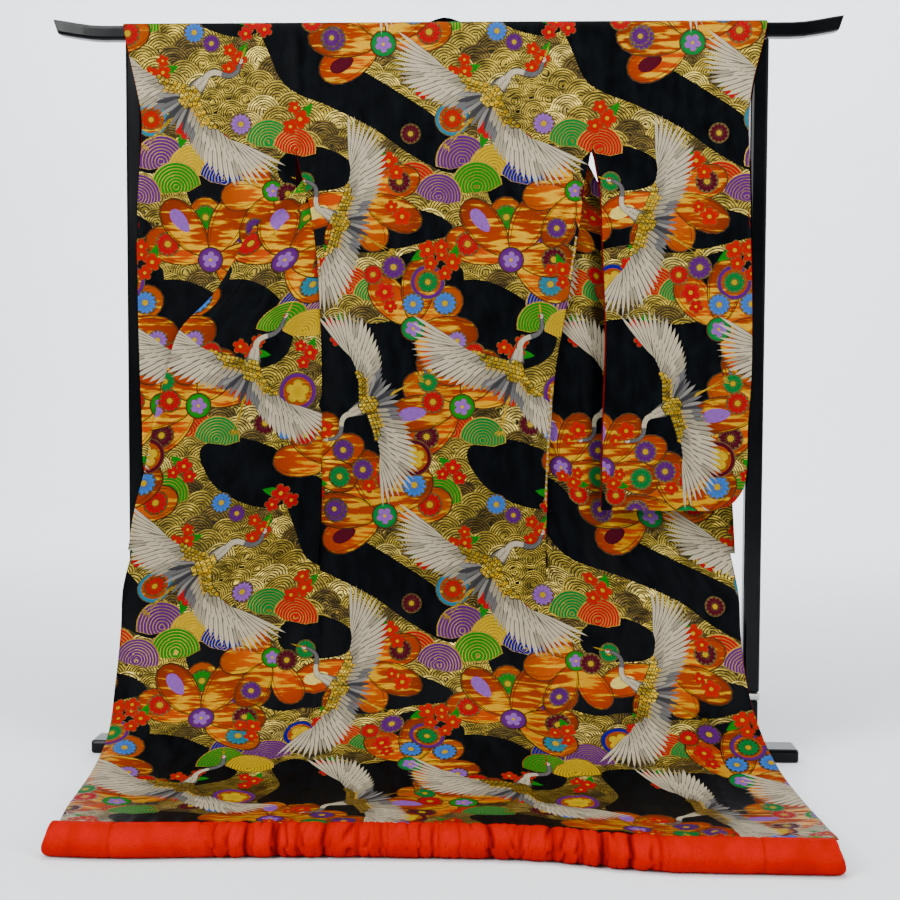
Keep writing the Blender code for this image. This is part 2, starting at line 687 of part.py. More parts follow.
# ---------------------------------------------------------------- padded hem
def gather(x):
    """How far the gathers draw the roll in: round lumps between sharp pinches."""
    for (left, left_depth), (right, right_depth) in zip(PINCHES[:-1], PINCHES[1:]):
        if x <= right:
            break
    share = min(max((x - left) / (right - left), 0.0), 1.0)
    depth = left_depth + (right_depth - left_depth) * share
    return FUKI_PINCH * depth * (1 - math.sin(math.pi * share) ** 0.7)


def roll_stations(left, right):
    """Where the roll's sections stand: at both ends, at each pinch and evenly between them."""
    marks = [left] + [x for x, _ in PINCHES if left + FUKI_SECTION < x < right - FUKI_SECTION] + [right]
    stations = [left]
    for start, end in zip(marks[:-1], marks[1:]):
        count = math.ceil((end - start) / FUKI_SECTION)
        stations += [start + (end - start) * k / count for k in range(1, count + 1)]
    return stations


def fuki_roll(name, left, right, collection, material):
    """One length of the padded hem roll, lying on the floor."""
    rings = []
    for x in roll_stations(left, right):
        inward = 1 if x - FUKI_LEFT < FUKI_RIGHT - x else -1
        tip = min(min(x - FUKI_LEFT, FUKI_RIGHT - x) / FUKI_END_ROUND, 1.0)
        size = FUKI_END_SIZE + (1 - FUKI_END_SIZE) * math.sqrt(max(1 - (1 - tip) ** 2, 0.0))
        slant = inward * FUKI_END_SLANT * (1 - ease(tip, 0.0, 1.0))
        seam_reach = hang(stretch(HEM_DOWN, x))[0] + SEAM_GAP
        ring = []
        for k in range(ROLL_SIDES):
            angle = 2 * math.pi * k / ROLL_SIDES
            drawn_in = gather(x) * math.sqrt(0.5 + 0.5 * math.cos(angle))
            reach = (FUKI_DEPTH / 2 * size - drawn_in) * math.cos(angle) + FUKI_BACK
            half_height = FUKI_HEIGHT / 2 * size - FUKI_PINCH_LIFT * drawn_in
            z = max(half_height * math.sin(angle) + FUKI_MIDDLE_Z, 0.0)
            ring.append((x + slant * z / FUKI_HEIGHT, -(seam_reach + max(reach, 0.0)), z))
        rings.append(ring)
    return tube(name, rings, collection, material)


# ---------------------------------------------------------------- stand
def rod(name, collection, material):
    """The lacquered rod: straight where the cloth lies, swept up at both ends."""
    rings = []
    for x in [-x for x in ROD_SECTIONS[:0:-1]] + list(ROD_SECTIONS[1:]):
        rise = ROD_END_RISE * ease(abs(x), ROD_SWEEP_FROM, ROD_SWEEP_TO)
        cut = ROD_END_CUT if abs(x) == ROD_SECTIONS[-1] else 0.0
        ring = []
        for k in range(ROD_SIDES):
            angle = 2 * math.pi * (k + 0.5) / ROD_SIDES
            over, up = math.cos(angle), math.sin(angle)
            y = math.copysign(abs(over) ** ROD_SQUARENESS, over) * ROD_DEPTH / 2
            z = math.copysign(abs(up) ** ROD_SQUARENESS, up) * ROD_HEIGHT / 2
            slant = cut * (0.5 - z / ROD_HEIGHT)
            ring.append((x - math.copysign(slant, x), y, ROD_TOP_Z - ROD_HEIGHT / 2 + rise + z))
        rings.append(ring)
    return tube(name, rings, collection, material)


def stand(collection, lacquer, silver):
    rod("rod", collection, lacquer)
    band_top = BAND_Z + BAND_HEIGHT
    rod_bottom = ROD_TOP_Z - ROD_HEIGHT
    for side, word in ((-1, "left"), (1, "right")):
        x = side * POST_X
        upper_low = band_top + REST_GAP
        upper_high = rod_bottom - REST_GAP
        block("post_" + word, (POST_SIZE, POST_SIZE, upper_high - upper_low),
              (x, 0, (upper_high + upper_low) / 2), POST_ROUND, collection, lacquer)
        block("band_" + word, (BAND_SIZE, BAND_SIZE, BAND_HEIGHT),
              (x, 0, BAND_Z + BAND_HEIGHT / 2), BAND_ROUND, collection, silver)
        low = BAR_HEIGHT + REST_GAP
        high = BAND_Z - REST_GAP
        block("post_foot_" + word, (POST_FOOT_SIZE, POST_FOOT_SIZE, high - low),
              (x, 0, (high + low) / 2), POST_ROUND * 0.8, collection, lacquer)
        bar_face = BAR_DEPTH / 2 + REST_GAP
        for reach, direction, place_word in ((FOOT_FRONT_REACH, -1, "front"),
                                             (FOOT_REAR_REACH, 1, "rear")):
            block("foot_" + word + "_" + place_word,
                  (FOOT_WIDTH, reach - bar_face, BAR_HEIGHT),
                  (x, direction * (reach + bar_face) / 2, BAR_HEIGHT / 2),
                  FOOT_ROUND, collection, lacquer)
    block("base_bar", (2 * BAR_HALF_LENGTH, BAR_DEPTH, BAR_HEIGHT),
          (0, 0, BAR_HEIGHT / 2), BAR_ROUND, collection, lacquer)


# ---------------------------------------------------------------- the whole part
FUKI_LEFT = -LEFT_FRONT[-1][4] - 0.032
FUKI_RIGHT = RIGHT_FRONT[-1][4] + 0.008


def kimono(collection, brocade, red, black):
    for side, word in ((-1, "left"), (1, "right")):
        back_panel("back_" + word, side, collection, brocade)
        front_panel("front_" + word, side, collection, brocade)
        okumi_panel("okumi_" + word, side, collection, brocade)
        collar_half("collar_" + word, side, collection, brocade)
        sleeve_wall("sleeve_" + word + "_near", side, False, collection, brocade)
        sleeve_wall("sleeve_" + word + "_far", side, True, collection, brocade)
    collar_neck("collar_neck", collection, black)
    centre = BACK[-1][1]
    half_gap = SEAM_GAP / 2
    left_okumi = -(LEFT_FRONT[-1][4] - LEFT_FRONT[-1][2])
    right_okumi = RIGHT_FRONT[-1][4] - RIGHT_FRONT[-1][2]
    fuki_roll("fuki_okumi_left", FUKI_LEFT, left_okumi - half_gap, collection, red)
    fuki_roll("fuki_left", left_okumi + half_gap, centre - half_gap, collection, red)
    fuki_roll("fuki_right", centre + half_gap, right_okumi - half_gap, collection, red)
    fuki_roll("fuki_okumi_right", right_okumi + half_gap, FUKI_RIGHT, collection, red)


def centre_on_origin(collection):
    """Move everything so that the origin is under the middle of the part's box."""
    bpy.context.view_layer.update()
    graph = bpy.context.evaluated_depsgraph_get()
    corners = np.array([
        obj.matrix_world @ Vector(corner)
        for obj in collection.objects
        for corner in obj.evaluated_get(graph).bound_box
    ])
    middle = (corners.min(axis=0) + corners.max(axis=0)) / 2
    shift = Vector((-middle[0], -middle[1], 0.0))
    for obj in collection.objects:
        obj.location += shift
    return shift


def main():
    start_empty()
    parts = new_collection("uchikake_on_stand")
    brocade = new_material("brocade", (0.10, 0.07, 0.02), 0.45)
    red = new_material("vermilion_silk", (0.75, 0.04, 0.01), 0.55)
    black = new_material("black_satin", (0.012, 0.012, 0.014), 0.40)
    lacquer = new_material("black_lacquer", (0.010, 0.011, 0.013), 0.12)
    silver = new_material("silver_metal", (0.60, 0.60, 0.60), 0.30, 1.0)
    stand(parts, lacquer, silver)
    kimono(parts, brocade, red, black)
    print("moved by", centre_on_origin(parts))


main()
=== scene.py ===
# %% [markdown]
# # An uchikake on its stand
# An uchikake is the long outer robe of a Japanese bride: silk brocade over a red lining, with a
# thick padded roll for a hem. Here it hangs open on a lacquered stand with its back to the
# viewer, and the train lies forward on the floor. The solids of robe and stand are loaded first.
# Every sheet made below is a thin shell on the form of its solid.

# %% The tools and the frame
import bpy
import bmesh
import math
import random
import numpy as np
from mathutils import Matrix, Vector
from mathutils.geometry import delaunay_2d_cdt


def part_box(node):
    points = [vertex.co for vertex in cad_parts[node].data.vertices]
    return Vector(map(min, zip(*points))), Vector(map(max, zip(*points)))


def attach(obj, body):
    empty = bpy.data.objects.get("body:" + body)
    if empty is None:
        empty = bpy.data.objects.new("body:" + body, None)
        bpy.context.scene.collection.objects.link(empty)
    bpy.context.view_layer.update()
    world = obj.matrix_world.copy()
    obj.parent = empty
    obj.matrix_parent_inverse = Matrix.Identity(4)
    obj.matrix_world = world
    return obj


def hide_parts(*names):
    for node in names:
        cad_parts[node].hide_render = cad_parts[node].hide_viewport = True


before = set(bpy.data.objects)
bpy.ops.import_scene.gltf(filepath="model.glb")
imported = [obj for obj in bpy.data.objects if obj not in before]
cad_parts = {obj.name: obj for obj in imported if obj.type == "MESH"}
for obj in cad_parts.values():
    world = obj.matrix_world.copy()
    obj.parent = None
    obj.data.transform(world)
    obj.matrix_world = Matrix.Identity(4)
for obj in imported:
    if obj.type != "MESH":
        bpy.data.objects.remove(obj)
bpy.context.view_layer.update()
rod_low, rod_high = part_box("rod")
ROD_Y = (rod_low[1] + rod_high[1]) / 2       # the robe is measured from the rod's middle
print("solids:", len(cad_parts), "rod middle y:", round(ROD_Y, 4))

# %% [markdown]
# ## Colours and nodes
# Dyes are written as sRGB hex values, as on a dyer's card. Shaders work in linear light, so one
# function turns them. A second one adds a shader node with its settings and its links, and a
# third one wraps a finished shader in a material.

# %% Colour and node helpers
def linear(hex_colour):
    """An sRGB hex colour as a linear RGBA tuple."""
    parts = [int(hex_colour[i:i + 2], 16) / 255 for i in (1, 3, 5)]
    return tuple(c / 12.92 if c <= 0.04045 else ((c + 0.055) / 1.055) ** 2.4 for c in parts) + (1.0,)


def add(tree, kind, *values, out=0, **named):
    """Add a node, and give one of its outputs.

    Values go to its inputs in order, n6 names an input by number and Base_Color one by its name.
    A name in small letters is a setting of the node.
    """
    node = tree.nodes.new("ShaderNode" + kind)
    inputs = list(enumerate(values))
    for name, value in named.items():
        if name[0] == "n" and name[1:].isdigit():
            inputs.append((int(name[1:]), value))
        elif name.islower():
            setattr(node, name, value)
        else:
            inputs.append((name.replace("_", " "), value))
    for socket, value in inputs:
        if isinstance(value, bpy.types.NodeSocket):
            tree.links.new(value, node.inputs[socket])
        else:
            node.inputs[socket].default_value = value
    return node.outputs[out] if node.outputs else node


def make_material(name, shader_of, *values):
    """A material. shader_of lays its nodes in the tree and gives its shader."""
    material = bpy.data.materials.new(name)
    material.use_nodes = True
    tree = material.node_tree
    tree.nodes.clear()
    add(tree, "OutputMaterial", shader_of(tree, *values))
    return material


print("gold thread in linear light:", [round(c, 3) for c in linear("#b8963a")])

# %% [markdown]
# ## The robe's sizes
# A kimono is cut from straight lengths of cloth, so each panel is known by two measures: how far
# down it a point lies from the shoulder line over the rod, and how far across. The tables say
# how each panel hangs. They are the tables that shaped the solids, so the sheets land on them.

# %% Sizes in metres
CLOTH = 0.0022            # brocade, interlining and lining together
SEAM_GAP = 0.00004        # the sheets close the seams that the solids leave open
FOLD_SEAM_GAP = 0.0006    # the collar seam where the fold runs across it
TOP_Z = 1.509             # outer face of the cloth over the rod
DRAPE_HALF = 0.0225       # half the cloth's depth over the rod
DRAPE_CORNER = 0.009      # radius of its turn at each edge of the rod
OVER_ROD = DRAPE_HALF - DRAPE_CORNER + DRAPE_CORNER * math.pi / 2
HEM_SEAM_Z = 0.0415       # a little under the solid's, so that the cloth ends on the roll
ARM_DOWN = 0.285          # the sleeve is sewn to the body down to here
SIDE_SEAM_DOWN = 0.66     # the side is open from there to here
HEM_DOWN = 1.922          # length of the body at the centre back
EDGE_CURL = 0.010         # the back panel's side edge turns this far under
EDGE_CURL_WIDTH = 0.045
SLEEVE_DOWN = 1.010
SLEEVE_CORNER = 0.070     # radius of the rounded lower corner
SLEEVE_CUFF_DOWN = 0.320  # the cuff is open down to here
SLEEVE_SHUT_Y = -0.0214   # where the two layers are sewn together, in front of the post
SLEEVE_SHUT_WIDTH = 0.016  # how much of the outer edge lies flat together
SLEEVE_SHUT_FROM = 0.060  # where the layers begin to close, from the outer edge
SLEEVE_SHUT_GAP = 0.0012
SLEEVE_STEP = (0.285, 0.360)  # across this, cloth steps in front of or behind the sleeve
ARMHOLE_FILL = 0.018      # the left sleeve's far lining fills the view through its armhole
COLLAR_RISE = 0.012       # the collar stands above the shoulder line at the neck
FRONT_FOLDED = (0.061, 1.15)  # the front is folded on itself between these
LAYERS_PART = 0.45        # where a front's two layers start to draw apart
FOLD_TURNS = 12           # steps round the fold
OKUMI_TOP_DOWN = 0.450
COLLAR_END_DOWN = 1.100
FUKI_DEPTH = 0.074        # padded hem roll, front to back
FUKI_HEIGHT = 0.056
FUKI_BACK = 0.033         # its middle lies this far in front of the hem seam
FUKI_MIDDLE_Z = 0.0263    # a little sunk, because its weight flattens it
FUKI_PINCH = 0.0075       # how far the deepest gather draws it in
FUKI_PINCH_LIFT = 0.8     # share of that at the top and underneath
FUKI_END_ROUND = 0.022
FUKI_END_SIZE = 0.42      # share of the section left at the very end
FUKI_END_SLANT = 0.020    # the ends run out along the floor
print("body length:", HEM_DOWN, "m, sleeve length:", SLEEVE_DOWN, "m")

# %% How each panel hangs
# How the lower cloth leans from hanging (0 degrees) to lying (90 degrees).
# Columns: down from the start of the lean (m), lean (degrees).
LEAN = [
    (0.0, 0.0), (0.16, 6.0), (0.3, 24.0), (0.42, 48.0), (0.56, 68.0), (0.7, 84.0), (0.8, 92.0),
    (0.97, 96.0),
]

# Centre back and side seams of the back panels.
# Columns: down, centre back x, left side x, right side x.
BACK = [
    (0.0, -0.004, -0.3, 0.3), (0.285, -0.003, -0.3, 0.296), (0.345, -0.003, -0.286, 0.286),
    (0.42, -0.003, -0.27, 0.278), (0.54, -0.002, -0.258, 0.261), (0.62, -0.002, -0.254, 0.247),
    (0.72, -0.001, -0.252, 0.231), (0.93, 0.0, -0.251, 0.218), (1.25, 0.003, -0.256, 0.212),
    (1.4, 0.006, -0.254, 0.226), (1.6, 0.012, -0.243, 0.246), (1.76, 0.018, -0.232, 0.268),
    (1.9, 0.024, -0.222, 0.286),
]

# The hem lies further out towards the right. Columns: x, extra cloth below HEM_DOWN.
HEM_EXTRA = [
    (-0.68, 0.01), (-0.52, 0.018), (-0.36, 0.008), (0.02, -0.008), (0.2, 0.0), (0.3, 0.026),
    (0.46, 0.048), (0.58, 0.056), (0.7, 0.048),
]

# Each front swings out from behind the back, folded once on itself, and lies open lower down.
# Columns: down, fold x, okumi width, collar width, free edge x, far layer y, near layer y,
# y out past the sleeve seam. The x values are distances from the middle, and a y is where the
# layer lies while the cloth hangs straight.
LEFT_FRONT = [
    (0.0, 0.05, 0.0, 0.045, 0.05, 0.0225, 0.0225, 0.0225),
    (0.06, 0.062, 0.0, 0.045, 0.062, 0.0225, 0.0225, 0.0225),
    (0.12, 0.098, 0.0, 0.045, 0.122, 0.0225, 0.009, 0.009),
    (0.2, 0.122, 0.0, 0.045, 0.195, 0.022, 0.0, 0.0),
    (0.285, 0.142, 0.0, 0.045, 0.262, 0.019, -0.005, -0.005),
    (0.345, 0.158, 0.003, 0.045, 0.298, 0.016, -0.006, -0.022),
    (0.391, 0.168, 0.01, 0.045, 0.342, 0.015, -0.007, -0.03),
    (0.45, 0.18, 0.016, 0.045, 0.4, 0.014, -0.007, -0.031),
    (0.51, 0.192, 0.031, 0.045, 0.434, 0.014, -0.007, -0.031),
    (0.57, 0.203, 0.058, 0.045, 0.472, 0.014, -0.007, -0.031),
    (0.641, 0.224, 0.1, 0.045, 0.54, 0.014, -0.007, -0.031),
    (0.723, 0.226, 0.092, 0.045, 0.568, 0.014, -0.007, -0.031),
    (0.831, 0.228, 0.081, 0.045, 0.597, 0.014, -0.007, -0.031),
    (0.941, 0.234, 0.086, 0.033, 0.619, 0.012, -0.007, -0.031),
    (1.01, 0.24, 0.108, 0.019, 0.638, 0.009, -0.0075, -0.03),
    (1.1, 0.244, 0.124, 0.01, 0.653, 0.004, -0.0085, -0.03),
    (1.18, 0.25, 0.141, 0.0, 0.662, -0.006, -0.018, -0.03),
    (1.38, 0.256, 0.138, 0.0, 0.66, -0.0225, -0.0225, -0.026),
    (1.5, 0.25, 0.132, 0.0, 0.648, -0.0225, -0.0225, -0.0225),
    (1.76, 0.233, 0.13, 0.0, 0.644, -0.0225, -0.0225, -0.0225),
    (1.97, 0.222, 0.092, 0.0, 0.606, -0.0225, -0.0225, -0.0225),
]
RIGHT_FRONT = [
    (0.0, 0.05, 0.0, 0.045, 0.05, 0.0225, 0.0225, 0.0225),
    (0.06, 0.062, 0.0, 0.045, 0.062, 0.0225, 0.0225, 0.0225),
    (0.12, 0.098, 0.0, 0.045, 0.122, 0.0225, 0.01, 0.01),
    (0.2, 0.122, 0.0, 0.045, 0.2, 0.0225, 0.002, 0.002),
    (0.285, 0.142, 0.0, 0.045, 0.283, 0.026, 0.004, 0.004),
    (0.345, 0.156, 0.003, 0.045, 0.318, 0.029, 0.007, 0.017),
    (0.391, 0.166, 0.01, 0.045, 0.352, 0.03, 0.008, 0.03),
    (0.45, 0.178, 0.016, 0.045, 0.402, 0.03, 0.008, 0.031),
    (0.51, 0.188, 0.032, 0.045, 0.431, 0.03, 0.008, 0.031),
    (0.57, 0.192, 0.058, 0.045, 0.467, 0.03, 0.008, 0.031),
    (0.641, 0.192, 0.103, 0.045, 0.53, 0.03, 0.008, 0.031),
    (0.723, 0.19, 0.094, 0.045, 0.549, 0.029, 0.008, 0.031),
    (0.831, 0.188, 0.085, 0.045, 0.573, 0.027, 0.007, 0.031),
    (0.941, 0.19, 0.094, 0.033, 0.595, 0.023, 0.004, 0.031),
    (1.01, 0.194, 0.11, 0.019, 0.602, 0.017, 0.0, 0.03),
    (1.1, 0.202, 0.122, 0.01, 0.606, 0.008, -0.006, 0.02),
    (1.18, 0.211, 0.131, 0.0, 0.609, -0.006, -0.015, -0.004),
    (1.26, 0.218, 0.128, 0.0, 0.609, -0.018, -0.02, -0.018),
    (1.38, 0.224, 0.126, 0.0, 0.616, -0.0225, -0.0225, -0.024),
    (1.5, 0.238, 0.126, 0.0, 0.634, -0.0225, -0.0225, -0.0225),
    (1.7, 0.26, 0.144, 0.0, 0.668, -0.0225, -0.0225, -0.0225),
    (1.97, 0.286, 0.13, 0.0, 0.674, -0.0225, -0.0225, -0.0225),
]

# The sleeves hang flat. Columns: down, near wall's outer edge x, far wall's outer edge x, then
# near wall y and far wall y at the cuff side, near wall y and far wall y at the body side.
# The x values are distances from the middle. The far wall stays clear of the post.
LEFT_SLEEVE = [
    (0.0, 0.659, 0.657, -0.0225, 0.0225, -0.0225, 0.0225),
    (0.04, 0.653, 0.65, -0.0225, 0.0225, -0.0225, 0.0225),
    (0.095, 0.642, 0.637, -0.0225, 0.0225, -0.0225, 0.0225),
    (0.225, 0.619, 0.614, -0.0225, 0.0215, -0.0225, 0.0225),
    (0.285, 0.622, 0.612, -0.023, 0.0205, -0.02, 0.023),
    (0.345, 0.627, 0.612, -0.023, 0.018, -0.002, 0.026),
    (0.45, 0.631, 0.631, -0.018, 0.016, -0.002, 0.026),
    (0.7, 0.628, 0.628, -0.018, 0.014, -0.002, 0.024),
    (1.01, 0.617, 0.617, -0.0205, 0.008, -0.003, 0.02),
]
RIGHT_SLEEVE = [
    (0.0, 0.65, 0.648, -0.0225, 0.0225, -0.0225, 0.0225),
    (0.04, 0.646, 0.642, -0.0225, 0.0225, -0.0225, 0.0225),
    (0.095, 0.633, 0.626, -0.0225, 0.0225, -0.0225, 0.0225),
    (0.195, 0.614, 0.609, -0.0225, 0.0215, -0.0225, 0.0225),
    (0.285, 0.616, 0.611, -0.0225, 0.019, -0.0225, 0.019),
    (0.345, 0.619, 0.612, -0.0225, 0.018, -0.023, -0.004),
    (0.45, 0.622, 0.622, -0.0225, 0.018, -0.023, -0.004),
    (0.7, 0.628, 0.628, -0.0225, 0.015, -0.024, -0.005),
    (0.86, 0.621, 0.621, -0.0225, 0.012, -0.024, -0.0055),
    (1.01, 0.618, 0.618, -0.0225, 0.01, -0.023, -0.006),
]
# Inner edges of the sleeves below the armhole. Columns: down, left x, right x.
SLEEVE_INNER = [
    (0.0, 0.301, 0.3005), (0.285, 0.302, 0.306), (0.37, 0.306, 0.319), (0.48, 0.306, 0.324),
    (0.66, 0.306, 0.332), (0.84, 0.306, 0.328), (1.01, 0.306, 0.326),
]

# The gathers of the padded hem. Columns: x, depth as a share of the deepest.
PINCHES = [
    (-0.64, 0.0), (-0.392, 0.14), (-0.351, 0.32), (-0.328, 0.26), (-0.292, 0.72), (-0.241, 0.85),
    (-0.208, 0.48), (-0.165, 0.68), (-0.109, 0.52), (-0.073, 0.3), (0.024, 0.16), (0.056, 0.2),
    (0.105, 0.42), (0.156, 0.46), (0.21, 0.55), (0.257, 0.5), (0.288, 1.0), (0.333, 0.52),
    (0.382, 0.34), (0.43, 0.12), (0.538, 0.08), (0.684, 0.0),
]

DOWN_STEPS = [
    0.0, 0.0135, 0.0182, 0.0229, 0.0277, 0.060, 0.090, 0.120, 0.160, 0.200, 0.240, 0.285, 0.315,
    0.345, 0.391, 0.450, 0.510, 0.570, 0.641, 0.723, 0.831, 0.941, 1.010, 1.100, 1.180, 1.260,
    1.330, 1.395, 1.455, 1.515, 1.575, 1.640, 1.710, 1.790, HEM_DOWN,
]
SLEEVE_STEPS = DOWN_STEPS[:6] + [
    0.095, 0.140, 0.210, 0.285, 0.320, 0.345, 0.391, 0.450, 0.540, 0.640, 0.740, 0.840, 0.940,
]
SLEEVE_STEPS += [
    SLEEVE_DOWN - SLEEVE_CORNER * (1 - math.sin(math.pi / 2 * k / 5)) for k in range(1, 6)
]
print("rows of a body panel:", len(DOWN_STEPS), "and of a sleeve:", len(SLEEVE_STEPS))

# %% Meshes
def put(name, points, faces, *materials):
    """A smooth mesh of points and faces, placed in the scene."""
    mesh = bpy.data.meshes.new(name)
    mesh.from_pydata(points, [], faces)
    for material in materials:
        mesh.materials.append(material)
    mesh.shade_smooth()
    obj = bpy.data.objects.new(name, mesh)
    bpy.context.scene.collection.objects.link(obj)
    return obj


def grid_faces(rows, columns):
    """Four-sided faces over a grid of points."""
    ids = np.arange(rows * columns).reshape(rows, columns)
    corners = [ids[:-1, :-1], ids[1:, :-1], ids[1:, 1:], ids[:-1, 1:]]
    return np.stack(corners, axis=-1).reshape(-1, 4).tolist()


def hand_over(obj, node):
    """The piece rides on the one body and stands for a solid, which is hidden."""
    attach(obj, "root")
    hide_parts(node)


print("a grid of 3 x 3 points has", len(grid_faces(3, 3)), "faces")

# %% [markdown]
# ## From the cut to the hanging robe
# Silk could be dropped over the rod in a simulation, but wadded brocade hangs almost straight and
# every run would settle a little apart from its solid. The hanging line is therefore worked out:
# it goes over the rod, falls straight, and leans forward into the train.

# %% Reading the tables
def between_knots(values, tangents, i, step, t):
    """A smooth curve between knots i and i + 1, step apart, at a share t of the way."""
    return (
        values[i] * (1 + 2 * t) * (1 - t) ** 2 + values[i + 1] * t * t * (3 - 2 * t)
        + tangents[i] * step * t * (1 - t) ** 2 - tangents[i + 1] * step * t * t * (1 - t)
    )


def column(table, index, at):
    """One column of a table as a smooth curve, read at one place or at many."""
    xs = np.array([row[0] for row in table])
    ys = np.array([row[index] for row in table])
    slopes = np.diff(ys) / np.diff(xs)
    tangents = np.concatenate(([slopes[0]], (slopes[:-1] + slopes[1:]) / 2, [slopes[-1]]))
    tangents[np.concatenate(([False], slopes[:-1] * slopes[1:] <= 0, [False]))] = 0.0
    at = np.clip(at, xs[0], xs[-1])
    i = np.minimum(np.searchsorted(xs, at, side="right") - 1, len(xs) - 2)
    step = xs[i + 1] - xs[i]
    return between_knots(ys, tangents, i, step, (at - xs[i]) / step)


def ease(at, start, end):
    """0 before start, 1 after end, smooth between."""
    t = np.clip((np.asarray(at, float) - start) / (end - start), 0.0, 1.0)
    return t * t * (3 - 2 * t)


print("the back is", round(float(column(BACK, 3, 0.93)), 3), "m wide at its waist")

# %% The hanging line
LEAN_STEP = 0.002


def lean_profile():
    """The lower hanging line: down, reach towards the viewer, height and lean in radians."""
    along = np.arange(0.0, LEAN[-1][0] + LEAN_STEP / 2, LEAN_STEP)
    leans = np.radians(column(LEAN, 1, along))
    falls, reaches = (np.concatenate(([0.0], np.cumsum(share(leans[:-1]) * LEAN_STEP)))
                      for share in (np.cos, np.sin))
    start = OVER_ROD
    for _ in range(60):                          # the start is moved until the hem lies right
        height = TOP_Z - DRAPE_CORNER - (start - OVER_ROD)
        height -= float(np.interp(HEM_DOWN - start, along, falls))
        start += (height - HEM_SEAM_Z) * 0.5
    heights = TOP_Z - DRAPE_CORNER - (start - OVER_ROD) - falls
    return start + along, DRAPE_HALF + reaches, heights, leans


PROFILE = lean_profile()
LEAN_START = float(PROFILE[0][0])


def hang(down):
    """Reach, height and lean of the hanging line at a distance down the cloth."""
    flat = DRAPE_HALF - DRAPE_CORNER
    down = np.asarray(down, float)
    turn = np.clip((down - flat) / DRAPE_CORNER, 0.0, math.pi / 2)
    reach = np.minimum(down, flat) + DRAPE_CORNER * np.sin(turn)
    height = TOP_Z - DRAPE_CORNER * (1 - np.cos(turn)) - np.maximum(down - OVER_ROD, 0.0)
    downs, reaches, heights, leans = PROFILE
    low = down > LEAN_START
    reach = np.where(low, np.interp(down, downs, reaches), reach)
    height = np.where(low, np.interp(down, downs, heights), height)
    return reach, height, np.where(low, np.interp(down, downs, leans), 0.0)


print("the robe starts to lean", round(LEAN_START, 3), "m below the shoulder")

# %% A point of the cloth
def soft_folds(down, x):
    """Shallow flutes in the lower cloth, which the gathered hem pulls in."""
    grow = ease(down, 0.95, 1.45) * (1 - 0.8 * ease(down, 1.62, HEM_DOWN))
    return 0.0032 * grow * (np.sin(x * 34.0 + 0.6) + 0.5 * np.sin(x * 57.0 + 2.1))


def place(down, x, y_layer, far_side=False):
    """Points of the cloth, an array of xyz. y_layer is their y where the cloth hangs straight."""
    x, y_layer = np.broadcast_arrays(np.asarray(x, float), np.asarray(y_layer, float))
    if down < OVER_ROD:
        reach, height, _ = hang(down)
        y = np.full(x.shape, reach if far_side else -reach)
        return np.stack([x, y, np.full(x.shape, height)], axis=-1)
    longer = ease(down, 1.25, HEM_DOWN) * column(HEM_EXTRA, 1, x)
    reach, height, lean = hang(down + longer)
    depth = y_layer + DRAPE_HALF + soft_folds(down, x)
    return np.stack([x, -reach + depth * np.cos(lean), height - depth * np.sin(lean)], axis=-1)


def side_curl(down):
    """How far the side edge of the back turns under."""
    opened = ease(down, ARM_DOWN, 0.40)
    return EDGE_CURL * opened * (1 - 0.5 * ease(down, 1.05, 1.30)) * (1 - ease(down, 1.5, HEM_DOWN))


def seam_gap(down):
    """Seams are a little wider where the cloth is fluted."""
    return SEAM_GAP * (1 + ease(down, 0.95, 1.30))


print("hem seam at", np.round(place(HEM_DOWN, 0.0, -DRAPE_HALF), 3))

# %% [markdown]
# ## Panels as grids
# Each panel starts as a coarse grid of points, with the place across the flat cloth kept beside
# every point. The place across runs on from panel to panel, so that the woven design can cross
# the seams. A smooth curve through the grid gives the fine form.

# %% Back panels
def back_grid(side):
    """Rows of points and of places across, from the centre seam to the side."""
    rows, across = [], []
    for down in DOWN_STEPS:
        centre = column(BACK, 1, down) + side * seam_gap(down) / 2
        edge = column(BACK, 2 if side < 0 else 3, down) - side * seam_gap(down) / 2
        x = np.linspace(centre, edge, 9)
        turn = side_curl(down) * (1 - ease(np.abs(edge - x), 0.0, EDGE_CURL_WIDTH))
        rows.append(place(down, x, -DRAPE_HALF + turn))
        across.append(np.abs(x - centre))
    rows[0][:, 1] = -SEAM_GAP / 2
    return DOWN_STEPS, rows, across


def back_width(side, down):
    return abs(float(column(BACK, 2 if side < 0 else 3, down) - column(BACK, 1, down)))


print("back panel width at the shoulder:", round(back_width(1, 0.0), 3), "m")

